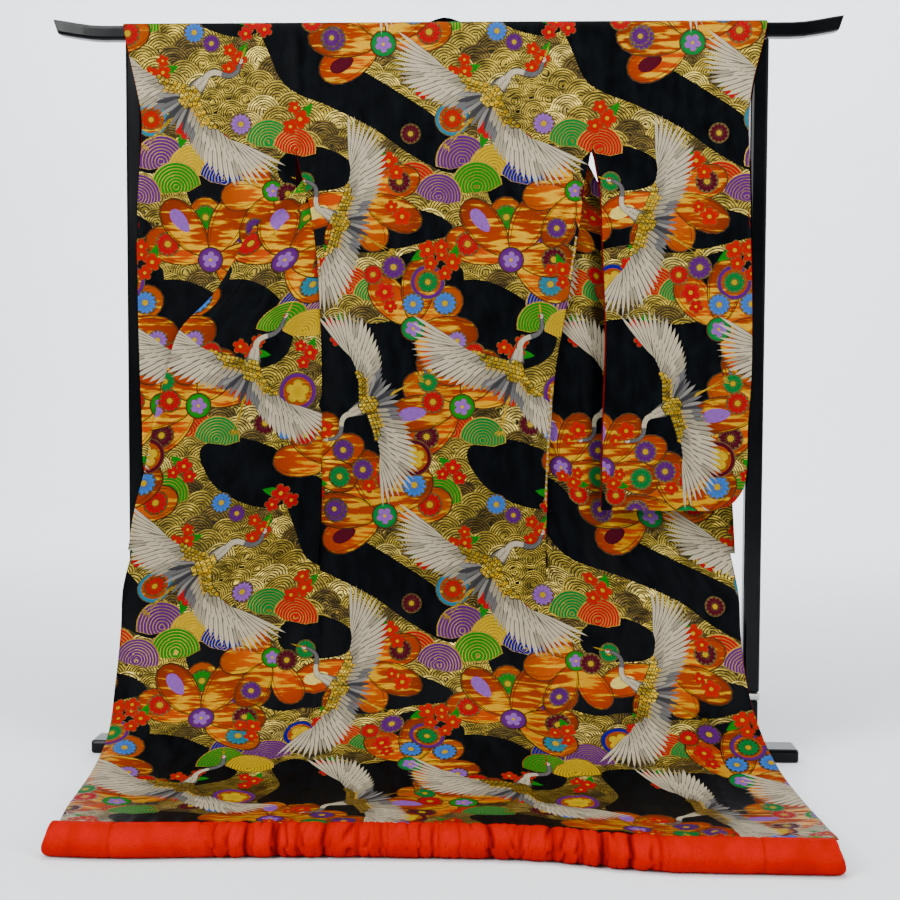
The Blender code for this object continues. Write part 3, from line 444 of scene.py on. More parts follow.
# %% Fronts, overlaps and collar
def front_path(side, down):
    """The front in plan at one height, from the side seam to the free edge, and its marks."""
    table = LEFT_FRONT if side < 0 else RIGHT_FRONT
    fold, okumi_width, collar_width, edge, far_y, near_y, out_y = [
        float(column(table, i, down)) for i in range(1, 8)
    ]
    start = abs(float(column(BACK, 2 if side < 0 else 3, down))) + seam_gap(down) / 2
    flush_y = -DRAPE_HALF + side_curl(down)
    radius = (far_y - near_y) / 2
    folded = FRONT_FOLDED[0] < down < FRONT_FOLDED[1]
    behind_y = flush_y + 2 * CLOTH + 2 * SEAM_GAP
    fold_points = 0
    if folded:
        points = [(start, far_y + (behind_y - far_y) * ease(down, LAYERS_PART, SIDE_SEAM_DOWN))]
        if start - fold > 0.05:
            points.append((start - 0.02, far_y))
        fold_points = len(points)
        bend_x = min(fold + radius, start - 0.001)
        for angle in np.linspace(0.0, math.pi, FOLD_TURNS + 1):
            points.append((bend_x - radius * math.sin(angle),
                           (far_y + near_y) / 2 + radius * math.cos(angle)))
    else:
        points = [(start, far_y if down < ARM_DOWN else flush_y)]
    for x in np.linspace(points[-1][0], edge, 17)[1:]:
        points.append((x, near_y + (out_y - near_y) * ease(x, *SLEEVE_STEP)))
    line = np.array(points, float)
    lengths = np.concatenate(([0.0], np.cumsum(np.hypot(*np.diff(line, axis=0).T))))
    total = lengths[-1]
    return line, lengths, {
        "fold_start": lengths[fold_points],
        "fold_end": lengths[fold_points + FOLD_TURNS] if folded else 0.0,
        "okumi": total - collar_width - okumi_width,
        "collar": total - collar_width,
        "edge": total,
        "gathered": ease(down, 0.10, 0.20) * (1 - ease(down, 0.80, 1.10)),
    }


def on_path(side, down, line, lengths, distances):
    x = side * np.interp(distances, lengths, line[:, 0])
    return place(down, x, np.interp(distances, lengths, line[:, 1]), far_side=True)


def strip_gap(down):
    """The gap at the overlap and collar seams, wider where a fold runs across them."""
    crossing = 1 - ease(down, 0.16, 0.28)
    return seam_gap(down) * 1.2 + (FOLD_SEAM_GAP - SEAM_GAP) * crossing


print("left front runs", round(front_path(-1, 0.6)[1][-1], 3), "m at 0.6 m down")

# %% Their grids
def front_grid(side):
    """From the side seam to the overlap seam. Columns gather round the fold."""
    rows, across = [], []
    for down in DOWN_STEPS:
        line, lengths, marks = front_path(side, down)
        end = marks["okumi"] - strip_gap(down) / 2
        past = min(marks["fold_end"], 0.92 * end)
        bend = min(marks["fold_start"], 0.85 * past)
        close = np.concatenate((np.linspace(0.0, bend, 3), np.linspace(bend, past, 5)[1:],
                                np.linspace(past, end, 9)[1:]))
        even = np.linspace(0.0, end, 15)
        distances = even + (close - even) * marks["gathered"]
        rows.append(on_path(side, down, line, lengths, distances))
        across.append(back_width(side, down) + distances)
    rows[0][:, 1] = SEAM_GAP / 2
    return DOWN_STEPS, rows, across


def strip_grid(side, first, last, downs, count):
    """A strip between two marks of the front's line."""
    rows, across = [], []
    for down in downs:
        line, lengths, marks = front_path(side, down)
        half_gap = strip_gap(down) / 2
        start = marks[first] + half_gap
        end = marks[last] - (half_gap if last != "edge" else 0.0)
        distances = np.linspace(start, end, count)
        rows.append(on_path(side, down, line, lengths, distances))
        across.append(back_width(side, down) + distances)
    if downs[0] == 0.0:
        rows[0][:, 1] = SEAM_GAP / 2
    return downs, rows, across


def okumi_grid(side):
    downs = [down for down in DOWN_STEPS if down >= OKUMI_TOP_DOWN]
    return strip_grid(side, "okumi", "collar", downs, 5)


def collar_grid(side):
    downs = [down for down in DOWN_STEPS if down <= COLLAR_END_DOWN]
    return strip_grid(side, "collar", "edge", downs, 4)


print("overlap strip starts", okumi_grid(1)[0][0], "m down")

# %% Sleeves
def sleeve_grid(side, far):
    """One layer of a sleeve. The two layers meet at the outer edge and at the bottom."""
    table = LEFT_SLEEVE if side < 0 else RIGHT_SLEEVE
    rows, across = [], []
    for down in SLEEVE_STEPS:
        inner = float(column(SLEEVE_INNER, 1 if side < 0 else 2, down)) + SEAM_GAP / 2
        if far and side < 0:
            inner -= float(ARMHOLE_FILL * ease(down, 0.284, 0.300) * (1 - ease(down, 0.340, 0.390)))
        near_x, far_x, near_out, far_out, near_in, far_in = [
            float(column(table, i, down)) for i in range(1, 7)
        ]
        past = max(down - (SLEEVE_DOWN - SLEEVE_CORNER), 0.0)
        outer = far_x if far else near_x
        outer -= SLEEVE_CORNER - math.sqrt(max(SLEEVE_CORNER ** 2 - past ** 2, 0.0))
        flat_from = outer - SLEEVE_SHUT_WIDTH
        x = np.append(np.linspace(inner, flat_from, 8), outer)
        closed = CLOTH + SLEEVE_SHUT_GAP / 2
        out = ease(x, *SLEEVE_STEP)
        near = near_in + (near_out - near_in) * out
        away = far_in + (far_out - far_in) * out
        to_side = ease(x, outer - SLEEVE_SHUT_FROM, flat_from)
        shut_y = (near + closed) * (1 - to_side) + SLEEVE_SHUT_Y * to_side
        shut_side = to_side * ease(down, SLEEVE_CUFF_DOWN, SLEEVE_CUFF_DOWN + 0.05)
        shut = np.maximum(shut_side, ease(down, SLEEVE_DOWN - 0.10, SLEEVE_DOWN - 0.01))
        y = away + (shut_y + closed - away) * shut if far else near + (shut_y - closed - near) * shut
        reach, height, _ = hang(down)
        if down < OVER_ROD:                         # over the rod the two layers are one
            y = np.full(len(x), reach if far else -reach)
        rows.append(np.stack([side * x, y, np.full(len(x), height)], axis=-1))
        across.append(x)
    rows[0][:, 1] = (SEAM_GAP if far else -SEAM_GAP) / 2
    return SLEEVE_STEPS, rows, across


shoulder = sleeve_grid(1, False)[2][0]
print("sleeve is", round(shoulder[-1] - shoulder[0], 3), "m wide")

# %% [markdown]
# ## Smooth forms
# A smooth curve is laid through the coarse grid first down the cloth, then across it. What comes
# out is a fine grid with even steps across, in which any place on the flat cloth can be looked
# up. Creases are small moves along the cloth's own normal, laid over that form.

# %% A curve through points
def smooth_through(knots, values, at):
    """A smooth curve through values at knots, read at many places. Values may be points."""
    knots = np.asarray(knots, float)
    values = np.asarray(values, float)
    steps = np.diff(knots)
    shape = (-1,) + (1,) * (values.ndim - 1)
    wide = steps.reshape(shape)
    slopes = np.diff(values, axis=0) / wide
    inner = (slopes[:-1] * wide[1:] + slopes[1:] * wide[:-1]) / (wide[:-1] + wide[1:])
    tangents = np.concatenate((slopes[:1], inner, slopes[-1:]))
    at = np.clip(at, knots[0], knots[-1])
    i = np.minimum(np.searchsorted(knots, at, side="right") - 1, len(knots) - 2)
    t = (at - knots[i]) / steps[i]
    return between_knots(values, tangents, i, steps[i].reshape(shape), t.reshape(shape))


print("half way:", smooth_through([0, 1, 2], [0.0, 1.0, 0.0], np.array([0.5])))

# %% A panel
BEND_DOWN = 0.030         # above this the cloth bends over the rod
BEND_STEP, HANG_STEP = 0.0015, 0.005


class Panel:
    """The fine form of one piece of cloth. s is the place across and t the place down."""

    def __init__(self, name, side, grid, outside, columns):
        self.name, self.side, self.kind = name, side, name.split("_")[0]
        downs, rows, across = grid
        top, low = downs[0], downs[-1]
        self.t = np.concatenate((np.arange(top, BEND_DOWN, BEND_STEP),
                                 np.arange(max(top, BEND_DOWN), low, HANG_STEP), [low]))
        points = smooth_through(downs, np.array(rows), self.t)
        places = smooth_through(downs, np.array(across), self.t)
        self.s0, self.s1 = places[:, 0], places[:, -1]
        self.share = np.linspace(0.0, 1.0, columns)
        self.points = np.empty((len(self.t), columns, 3))
        for i, (point, place_across) in enumerate(zip(points, places)):
            even = place_across[0] + (place_across[-1] - place_across[0]) * self.share
            self.points[i] = smooth_through(place_across, point, even)
        self.turn = 1.0
        normals = self.find_normals()
        middle = normals[len(self.t) * 2 // 3, columns * 2 // 3]
        self.turn = 1.0 if middle @ np.array(outside, float) > 0 else -1.0
        self.normals = normals * self.turn

    def find_normals(self):
        down = np.gradient(self.points, axis=0)
        over = np.gradient(self.points, axis=1)
        normals = np.cross(down, over)
        length = np.linalg.norm(normals, axis=-1, keepdims=True)
        return normals / np.maximum(length, 1e-12) * self.turn

    def raise_by(self, heights):
        """Move the form along its normals, and find the normals again."""
        self.points = self.points + self.normals * heights[..., None]
        self.normals = self.find_normals()

    def grid_places(self):
        """The places across and down of the fine grid."""
        s = self.s0[:, None] + (self.s1 - self.s0)[:, None] * self.share[None, :]
        return s, np.repeat(self.t[:, None], len(self.share), axis=1)

    def edges(self, t):
        """The places across of both edges, at places down."""
        return np.interp(t, self.t, self.s0), np.interp(t, self.t, self.s1)

    def look_up(self, s, t):
        """Points and normals of the cloth at places on it."""
        row = np.clip(np.interp(t, self.t, np.arange(len(self.t))), 0, len(self.t) - 1.000001)
        i = row.astype(int)
        down = (row - i)[:, None]
        s0, s1 = self.edges(t)
        col = np.clip((s - s0) / (s1 - s0), 0.0, 1.0) * (len(self.share) - 1)
        j = np.minimum(col.astype(int), len(self.share) - 2)
        over = (col - j)[:, None]

        def blend(field):
            upper = field[i, j] * (1 - over) + field[i, j + 1] * over
            lower = field[i + 1, j] * (1 - over) + field[i + 1, j + 1] * over
            return upper * (1 - down) + lower * down

        normals = blend(self.normals)
        return blend(self.points), normals / np.linalg.norm(normals, axis=1, keepdims=True)

    def flat_area(self):
        widths = self.s1 - self.s0
        return float(((widths[1:] + widths[:-1]) / 2 * np.diff(self.t)).sum())


# Rows: kind, grid, fine columns, a direction that the brocade faces.
CUTS = [("back", back_grid, 81, (0, -1, 0.3)), ("front", front_grid, 181, (0, -1, 0.3)),
        ("okumi", okumi_grid, 41, (0, -1, 0.3)), ("collar", collar_grid, 17, (0, -1, 0.1))]
panels = {}
for side, word in ((-1, "left"), (1, "right")):
    for kind, grid, columns, outside in CUTS:
        name = kind + "_" + word
        panels[name] = Panel(name, side, grid(side), outside, columns)
    for far, wall in ((False, "near"), (True, "far")):
        name = "sleeve_" + word + "_" + wall
        panels[name] = Panel(name, side, sleeve_grid(side, far), (0, 1 if far else -1, 0), 91)
print("flat cloth on show:", round(sum(p.flat_area() for p in panels.values()), 2), "square metres")

# %% [markdown]
# ## Creases, seams and puckers
# Wadded silk brocade is stiff. It shows long shallow folds from its weight, a small valley at
# each seam where the thread pulls the layers together, and puckers where the gathered hem draws
# it in. Each long fold has a row in a table, so that no two are alike.

# %% Long folds
# Columns: panel, s and t at its start, s and t at its end, half width, height. Metres.
FOLDS = [
    ("back_left", 0.10, 0.45, 0.13, 1.30, 0.030, 0.0022),
    ("back_left", 0.20, 0.30, 0.17, 0.95, 0.022, -0.0016),
    ("back_left", 0.04, 0.80, 0.06, 1.55, 0.018, 0.0014),
    ("back_right", 0.09, 0.35, 0.07, 1.10, 0.028, 0.0020),
    ("back_right", 0.17, 0.60, 0.19, 1.45, 0.024, -0.0018),
    ("back_right", 0.03, 0.95, 0.05, 1.60, 0.016, 0.0015),
    ("sleeve_left_near", 0.40, 0.25, 0.42, 0.90, 0.030, 0.0016),
    ("sleeve_left_near", 0.53, 0.20, 0.50, 0.80, 0.024, -0.0014),
    ("sleeve_right_near", 0.42, 0.30, 0.44, 0.95, 0.030, 0.0018),
    ("sleeve_right_near", 0.54, 0.15, 0.56, 0.85, 0.022, 0.0013),
    ("sleeve_right_near", 0.34, 0.415, 0.60, 0.400, 0.006, -0.0009),
    ("sleeve_left_far", 0.45, 0.20, 0.43, 0.85, 0.028, 0.0015),
    ("sleeve_right_far", 0.47, 0.25, 0.50, 0.90, 0.028, 0.0015),
    ("front_left", 0.36, 0.80, 0.40, 1.60, 0.026, 0.0020),
    ("front_left", 0.45, 1.05, 0.47, 1.75, 0.020, -0.0016),
    ("front_right", 0.33, 0.85, 0.36, 1.60, 0.026, 0.0021),
    ("front_right", 0.43, 1.10, 0.41, 1.70, 0.022, -0.0017),
    ("okumi_right", 0.60, 1.20, 0.62, 1.70, 0.022, 0.0015),
]


def fold_height(s, t, row):
    """A ridge or a valley along a slightly bent line, which dies away at both ends."""
    _, s_from, t_from, s_to, t_to, width, height = row
    along = np.array([s_to - s_from, t_to - t_from])
    length = np.linalg.norm(along)
    along = along / length
    ds, dt = s - s_from, t - t_from
    distance = (ds * along[0] + dt * along[1]) / length
    bend = 0.25 * width * np.sin(distance * 7.0 + s_from * 40)
    off = ds * along[1] - dt * along[0] + bend
    ends = ease(distance, 0.0, 0.25) * (1 - ease(distance, 0.7, 1.0))
    return height * ends * np.exp(-(off / width) ** 2)


print("long folds:", len(FOLDS))

# %% Seams, puckers and the drawn hem
SEAM_VALLEY = 0.0013
VALLEY_WIDTH = 0.0028
PUCKER, PUCKER_PITCH, PUCKER_REACH = 0.0004, 0.031, 0.016
HEM_PUCKER, HEM_PUCKER_PITCH, HEM_PUCKER_REACH = 0.0024, 0.034, 0.052
SLACK = 0.0003            # the faint unevenness of any hanging cloth
SIDE_EDGES = (("back", 1), ("front", 0))


def side_opening(t, closed_from):
    """1 beside the opening below the arm, 0 where the side is sewn."""
    return ease(t, ARM_DOWN - 0.01, ARM_DOWN) * (1 - ease(t, closed_from, closed_from + 0.02))


def waver(t, pitch, seed):
    """Uneven waves: a sine whose pitch and height drift."""
    drift = 0.9 * np.sin(t * 9.1 + seed) + 0.5 * np.sin(t * 23.0 + 2.3 * seed)
    size = 0.65 + 0.35 * np.sin(t * 13.7 + 1.7 * seed)
    return size * np.sin(2 * math.pi * t / pitch + 2.2 * drift + seed)


def shape_panel(panel):
    """Lay the folds, the seam valleys and the puckers over a panel's form.

    The waves are read from the place on the whole cloth, so they run on across every seam.
    """
    s, t = panel.grid_places()
    signed = panel.side * s
    heights = np.zeros(s.shape)
    for row in FOLDS:
        if row[0] == panel.name:
            heights += fold_height(s, t, row)
    for k, edge in enumerate((panel.s0[:, None], panel.s1[:, None])):
        off = np.abs(s - edge)
        sewn = ease(t, 0.03, 0.06)
        if (panel.kind, k) == ("sleeve", 0):
            sewn = sewn * (1 - ease(t, ARM_DOWN - 0.01, ARM_DOWN + 0.01))
        elif panel.kind == "sleeve":
            sewn = sewn * ease(t, SLEEVE_CUFF_DOWN, SLEEVE_CUFF_DOWN + 0.02)
        elif (panel.kind, k) in SIDE_EDGES:
            sewn = sewn * (1 - side_opening(t, SIDE_SEAM_DOWN))
        heights -= sewn * SEAM_VALLEY * np.exp(-(off / VALLEY_WIDTH) ** 2)
        wave = waver(t, PUCKER_PITCH, 9.0 * panel.side * edge)
        heights += sewn * PUCKER * wave * np.exp(-(off / PUCKER_REACH) ** 2)
    if panel.kind not in ("sleeve", "collar"):
        above_hem = HEM_DOWN - t
        drawn = np.exp(-(above_hem / HEM_PUCKER_REACH) ** 2) * ease(above_hem, 0.0, 0.006)
        heights += drawn * HEM_PUCKER * waver(signed, HEM_PUCKER_PITCH, 0.7)
    uneven = np.sin(signed * 61.0) * np.sin(t * 47.0 + signed * 9.0) * ease(t, 0.03, 0.1)
    panel.raise_by(heights + SLACK * (uneven - 1))


for panel in panels.values():
    shape_panel(panel)
print("creased panels:", len(panels))

# %% Sewing the edges together
# Columns: piece and its edge, piece and its edge, from and to in metres down. 0 is a piece's
# inner edge and -1 its outer edge. Raised puckers have moved the edges a little apart.
SEAMS = [("back_left", 0, "back_right", 0, 0.0, HEM_DOWN)]
for word in ("left", "right"):
    SEAMS += [
        ("back_" + word, -1, "front_" + word, 0, FRONT_FOLDED[1], HEM_DOWN),
        ("front_" + word, -1, "okumi_" + word, 0, OKUMI_TOP_DOWN, HEM_DOWN),
        ("front_" + word, -1, "collar_" + word, 0, 0.0, OKUMI_TOP_DOWN),
        ("okumi_" + word, -1, "collar_" + word, 0, OKUMI_TOP_DOWN, COLLAR_END_DOWN),
        ("sleeve_" + word + "_near", 0, "back_" + word, -1, 0.0, ARM_DOWN - 0.01),
        ("sleeve_" + word + "_far", 0, "front_" + word, 0, 0.0, ARM_DOWN - 0.01),
    ]
SEWN_WIDTH = 3.0          # columns over which an edge's move dies away
CLOSE = 1e-6              # places nearer than this are the same place


def edge_at(panel, k, field, t):
    return np.stack([np.interp(t, panel.t, field[:, k, axis]) for axis in range(3)], axis=-1)


def sew(one, k_one, two, k_two, start, end):
    """Bring two edges together between two places, and give them the same normals."""
    moves = []
    for panel, k, other, k_other in ((one, k_one, two, k_two), (two, k_two, one, k_one)):
        sewn = ((panel.t >= start - CLOSE) & (panel.t <= end + CLOSE))[:, None]
        move = (edge_at(other, k_other, other.points, panel.t) - panel.points[:, k]) / 2 * sewn
        turn = (edge_at(other, k_other, other.normals, panel.t) - panel.normals[:, k]) / 2 * sewn
        moves.append((panel, k, move, turn))
    for panel, k, move, turn in moves:
        from_edge = np.arange(len(panel.share))
        fade = np.exp(-((from_edge if k == 0 else from_edge[::-1]) / SEWN_WIDTH) ** 2)[None, :, None]
        panel.points = panel.points + move[:, None, :] * fade
        normals = panel.normals + turn[:, None, :] * fade
        panel.normals = normals / np.linalg.norm(normals, axis=-1, keepdims=True)


for one, k_one, two, k_two, start, end in SEAMS:
    sew(panels[one], k_one, panels[two], k_two, start, end)
print("seams sewn:", len(SEAMS))

# %% [markdown]
# ## The woven design
# The cloth is a nishiki brocade: black satin with gold and coloured silk wefts. Its motifs are
# old and common ones: seigaiha waves in gold, coloured wave fans, half rosettes of orange
# petals, kiku and plum blossoms, rings, black streams and flying cranes. They are drawn flat in
# cloth metres, s across and t down, in one repeat that the loom weaves again and again.

# %% Dyes and finishes
# Dyes are strong, because bright soft light washes colour out.
DYES = {name: linear(colour) for name, colour in {
    "ground": "#020304", "gold": "#8c7826", "pale gold": "#b8a24c", "deep gold": "#54441a",
    "orange": "#8c2c00", "amber": "#903a00", "vermilion": "#8c0a00", "rust": "#742400", "rim": "#3c2206",
    "red": "#8a000a", "maroon": "#3d0815", "purple": "#421054", "lilac": "#6c4288",
    "blue": "#0c0160", "sky": "#24559a", "teal": "#145b6c", "green": "#015a24",
    "leaf": "#015e0c", "yellow": "#957800", "white": "#988e76", "pearl": "#7c7460",
    "ash": "#6a6661", "grey": "#4c4a49", "slate": "#242428", "thread": "#a07e20", "scale": "#987606",
}.items()}
GROUND = DYES["ground"]
SATIN, GOLD, SILK, WAVE, THREAD, PETAL, FEATHER = range(7)
TILE_WIDTH, TILE_HEIGHT = 0.62, 0.96
STRAND_PITCH = 0.004      # strands of plain embroidery
tile = []
chance = random.Random(11)
print("dyes:", len(DYES), "repeat:", TILE_WIDTH, "x", TILE_HEIGHT, "m")

# %% A pen for the pattern sheet
def turned(x, y, angle, root=(0.0, 0.0)):
    """Points turned by an angle and moved to a root."""
    cos, sin = math.cos(angle), math.sin(angle)
    return np.stack([root[0] + x * cos - y * sin, root[1] + x * sin + y * cos], axis=1)


def toward(angle, length):
    return length * np.array([math.cos(angle), math.sin(angle)])


class Pen:
    """Lays shapes in its own small frame, which stands somewhere on the repeat."""

    def __init__(self, layer, place_at=(0.0, 0.0), turn=0.0, size=1.0, flip=False):
        self.layer, self.place_at, self.turn, self.size, self.flip = layer, place_at, turn, size, flip

    def out(self, points):
        points = np.atleast_2d(np.array(points, float)) * self.size
        if self.flip:
            points[:, 0] *= -1
        return turned(points[:, 0], points[:, 1], self.turn, self.place_at)

    def heading(self, angle):
        """A direction of the pen's frame as a direction on the repeat."""
        return (math.pi - angle if self.flip else angle) + self.turn

    def lay(self, points, kind, dye, centre=(0.0, 0.0), angle=None, pitch=STRAND_PITCH):
        """One shape. Its threads run round a centre, or straight along an angle from it."""
        tile.append({
            "line": self.out(points), "finish": kind, "dye": DYES[dye], "layer": self.layer,
            "radial": angle is None, "turn": self.heading(angle or 0.0),
            "pitch": pitch * self.size, "centre": tuple(self.out([centre])[0]),
        })


def disc(x, y, radius, corners=14, squash=1.0, turn=0.0):
    angles = np.linspace(0, 2 * math.pi, corners, endpoint=False)
    return turned(radius * np.cos(angles), radius * squash * np.sin(angles), turn, (x, y))


def leaf(root, angle, length, widths):
    """A leaf or petal: half widths at even steps from its root to its tip."""
    steps = len(widths) + 1
    right_side = [(length * (k + 1) / steps, w) for k, w in enumerate(widths)]
    line = [(0.0, 0.0)] + right_side + [(length, 0.0)] + [(a, -w) for a, w in right_side[::-1]]
    return turned(*np.array(line).T, angle, root)


def petal(root, angle, length, half, corners=18):
    """A round petal: narrow at its root and fullest past its middle."""
    turns = np.linspace(0, 2 * math.pi, corners, endpoint=False)
    x = length * (0.5 - 0.5 * np.cos(turns))
    return turned(x, half * np.sin(turns) * (0.74 + 0.36 * x / length), angle, root)


def smooth_loop(points, per_side=6):
    """A smooth closed line through points."""
    points = np.array(points, float)
    before, after, beyond = np.roll(points, 1, 0), np.roll(points, -1, 0), np.roll(points, -2, 0)
    out = []
    for p0, p1, p2, p3 in zip(before, points, after, beyond):
        for k in range(per_side):
            u = k / per_side
            out.append(0.5 * (2 * p1 + (p2 - p0) * u + (2 * p0 - 5 * p1 + 4 * p2 - p3) * u * u
                              + (3 * p1 - p0 - 3 * p2 + p3) * u ** 3))
    return np.array(out)


print("a disc has", len(disc(0, 0, 1)), "corners")

# %% Gold waves
WAVE_COLUMNS, WAVE_ROWS = 10, 38
WAVE_RADIUS = 0.0345
WAVE_RINGS = 7


def fan_line(radius, past, corners, foot_half, foot_drop):
    """A round fan on a narrow foot. past is how far its arc runs on below the middle."""
    turns = np.linspace(-past, math.pi + past, corners)
    arc = [(radius * math.cos(u), -radius * math.sin(u)) for u in turns]
    return arc + [(-foot_half * radius, foot_drop * radius), (foot_half * radius, foot_drop * radius)]


def gold_waves():
    """Seigaiha: fans in rows, each row over the one above. Size and lean drift over the cloth."""
    pitch_s, pitch_t = TILE_WIDTH / WAVE_COLUMNS, TILE_HEIGHT / WAVE_ROWS
    for row in range(WAVE_ROWS):
        for k in range(WAVE_COLUMNS):
            s, t = (k + 0.5 * (row % 2)) * pitch_s, row * pitch_t
            a, b = 2 * math.pi * s / TILE_WIDTH, 2 * math.pi * t / TILE_HEIGHT
            lean = 0.55 * math.sin(a + 2 * b + 0.4) + 0.38 * math.sin(2 * a - 3 * b + 1.9)
            size = 1.0 + 0.13 * math.sin(2 * a + b) + chance.uniform(-0.05, 0.05)
            s += 0.006 * math.sin(3 * b + a) + chance.uniform(-0.003, 0.003)
            t += 0.004 * math.sin(2 * a - b)
            pen = Pen(0, (s, t), lean, size)
            fan = fan_line(WAVE_RADIUS, 0.25, 11, 0.4, 0.62)
            tone = chance.choice(("gold", "gold", "pale gold", "gold", "deep gold"))
            pen.lay(fan, GOLD, tone, pitch=WAVE_RADIUS / WAVE_RINGS)


gold_waves()
print("gold wave fans:", len(tile))

# %% Black streams
# Each stream is a closed line on the repeat, and shows the plain satin ground.
STREAMS = [
    [(0.235, 0.000), (0.300, -0.015), (0.352, 0.040), (0.430, 0.100), (0.520, 0.155),
     (0.610, 0.215), (0.668, 0.285), (0.640, 0.325), (0.560, 0.290), (0.480, 0.235),
     (0.390, 0.190), (0.300, 0.150), (0.262, 0.080)],
    [(0.255, 0.418), (0.330, 0.398), (0.420, 0.412), (0.520, 0.392), (0.612, 0.410),
     (0.640, 0.445), (0.560, 0.470), (0.470, 0.486), (0.380, 0.470), (0.300, 0.480),
     (0.240, 0.455)],
    [(0.300, 0.640), (0.380, 0.618), (0.470, 0.630), (0.560, 0.622), (0.606, 0.668),
     (0.584, 0.740), (0.600, 0.820), (0.560, 0.905), (0.480, 0.938), (0.400, 0.906),
     (0.352, 0.845), (0.290, 0.800), (0.322, 0.725)],
    [(0.010, 0.560), (0.070, 0.540), (0.150, 0.570), (0.230, 0.640), (0.215, 0.700), (0.140, 0.725),
     (0.060, 0.690), (-0.010, 0.640)],
    [(0.050, 0.890), (0.130, 0.865), (0.235, 0.905), (0.270, 0.975), (0.200, 1.010),
     (0.095, 0.970)],
    [(0.520, 0.500), (0.600, 0.480), (0.660, 0.520), (0.650, 0.590), (0.570, 0.600), (0.515, 0.560)],
    [(0.290, 0.290), (0.360, 0.270), (0.430, 0.300), (0.420, 0.350), (0.340, 0.360), (0.285, 0.335)],
    [(0.100, 0.340), (0.190, 0.300), (0.250, 0.330), (0.236, 0.395), (0.160, 0.415), (0.104, 0.390)],
]
for line in STREAMS:
    Pen(1).lay(smooth_loop(line), SATIN, "ground")
print("streams:", len(STREAMS))

# %% Wave fans in coloured silk
FAN_RINGS, FAN_EDGE = 8, 0.0022


def wave_fan(place_at, radius, dye, turn):
    """A fan of coloured arcs, edged with gold thread."""
    pen = Pen(2, place_at, turn)
    for size, kind, colour in ((radius + FAN_EDGE, THREAD, "thread"), (radius, WAVE, dye)):
        pen.lay(fan_line(size, 0.0, 17, 0.5, 0.22), kind, colour, pitch=radius / FAN_RINGS)


# Columns: s, t, radius, dye, turn.
FANS = [
    (0.040, 0.300, 0.052, "purple", -0.2), (0.105, 0.318, 0.050, "yellow", 0.0),
    (0.168, 0.336, 0.048, "blue", 0.2), (0.070, 0.352, 0.050, "leaf", -0.1),
    (0.560, 0.352, 0.050, "red", 0.1), (0.612, 0.372, 0.046, "purple", 0.2),
    (0.505, 0.368, 0.044, "yellow", -0.2),
    (0.262, 0.262, 0.046, "green", 0.1), (0.316, 0.276, 0.044, "red", 0.2),
    (0.222, 0.592, 0.050, "blue", -0.1), (0.282, 0.602, 0.046, "purple", 0.1),
    (0.200, 0.632, 0.046, "leaf", -0.2), (0.255, 0.645, 0.044, "yellow", 0.0),
    (0.020, 0.852, 0.050, "red", 0.0), (0.082, 0.868, 0.046, "green", 0.1),
    (-0.035, 0.872, 0.044, "yellow", -0.1),
    (0.610, 0.030, 0.048, "leaf", 0.1), (0.560, 0.052, 0.044, "purple", -0.1),
    (0.430, 0.560, 0.046, "red", 0.0), (0.480, 0.575, 0.042, "green", 0.15),
]
for s, t, radius, dye, turn in FANS:
    wave_fan((s, t), radius, dye, turn)
print("coloured fans:", len(FANS))

# %% [markdown]
# ## Flowers
# A kiku, the chrysanthemum, is a wheel of narrow petals with gold thread between them. A plum
# blossom has five round petals. The half rosettes hold both: they are great orange petals in
# gilded silk, outlined in dark gold, round a small green disc.

# %% Kiku and plum blossom
KIKU_PETALS, PLUM_PETALS = 13, 5
HEART = "yellow"


def kiku(pen, x, y, radius, dye):
    """A chrysanthemum seen from the front."""
    pen.lay(disc(x, y, radius * 1.05, 15), THREAD, "deep gold", centre=(x, y))
    spacing = 2 * math.pi / KIKU_PETALS
    for k in range(KIKU_PETALS):
        angle = k * spacing
        root = (x, y) + toward(angle, 0.20 * radius)
        widths = (0.5 * spacing * radius * 0.42, 0.5 * spacing * radius * 0.78)
        pen.lay(leaf(root, angle, radius * 0.80, widths), SILK, dye, root, angle)
    pen.lay(disc(x, y, radius * 0.27, 8), SILK, HEART, centre=(x, y))


def lobed(x, y, radius, lobes, turn):
    """A closed line with round lobes, as of joined petals."""
    angles = np.linspace(0, 2 * math.pi, lobes * 6, endpoint=False)
    reach = radius * (0.62 + 0.38 * np.abs(np.cos(lobes * angles / 2)) ** 0.6)
    return np.stack([x + reach * np.cos(angles + turn), y + reach * np.sin(angles + turn)], axis=1)


def plum(pen, x, y, radius, dye):
    """Five round petals on a slightly larger outline."""
    turn = 0.7 * math.sin(90 * x + 70 * y + 300 * radius)
    pen.lay(lobed(x, y, radius + 0.0016, PLUM_PETALS, turn), THREAD, "deep gold")
    pen.lay(lobed(x, y, radius, PLUM_PETALS, turn), SILK, dye, centre=(x, y))
    pen.lay(disc(x, y, radius * 0.24, 6), SILK, HEART, centre=(x, y))


def sprig(place_at, dye, size):
    """Plum blossoms in a loose cluster, with two leaves."""
    pen = Pen(3, place_at, chance.uniform(0, 6.2), size)
    for angle in (0.4, 3.3):
        pen.lay(leaf((0.0, 0.0), angle, 0.036, (0.007, 0.008, 0.005)), SILK, "leaf", angle=angle)
    for x, y, radius in ((0.0, 0.0, 0.017), (0.022, 0.012, 0.014), (-0.012, 0.021, 0.013)):
        plum(pen, x, y, radius, dye)


print("petals of a kiku:", KIKU_PETALS, "and of a plum blossom:", PLUM_PETALS)

# %% Half rosettes
PETAL_DYES = ("orange", "rust", "amber", "rust")
PETAL_HALF, PETAL_HUB = 0.0340, 0.014
ROSETTE_SPREAD = 3.9      # radians


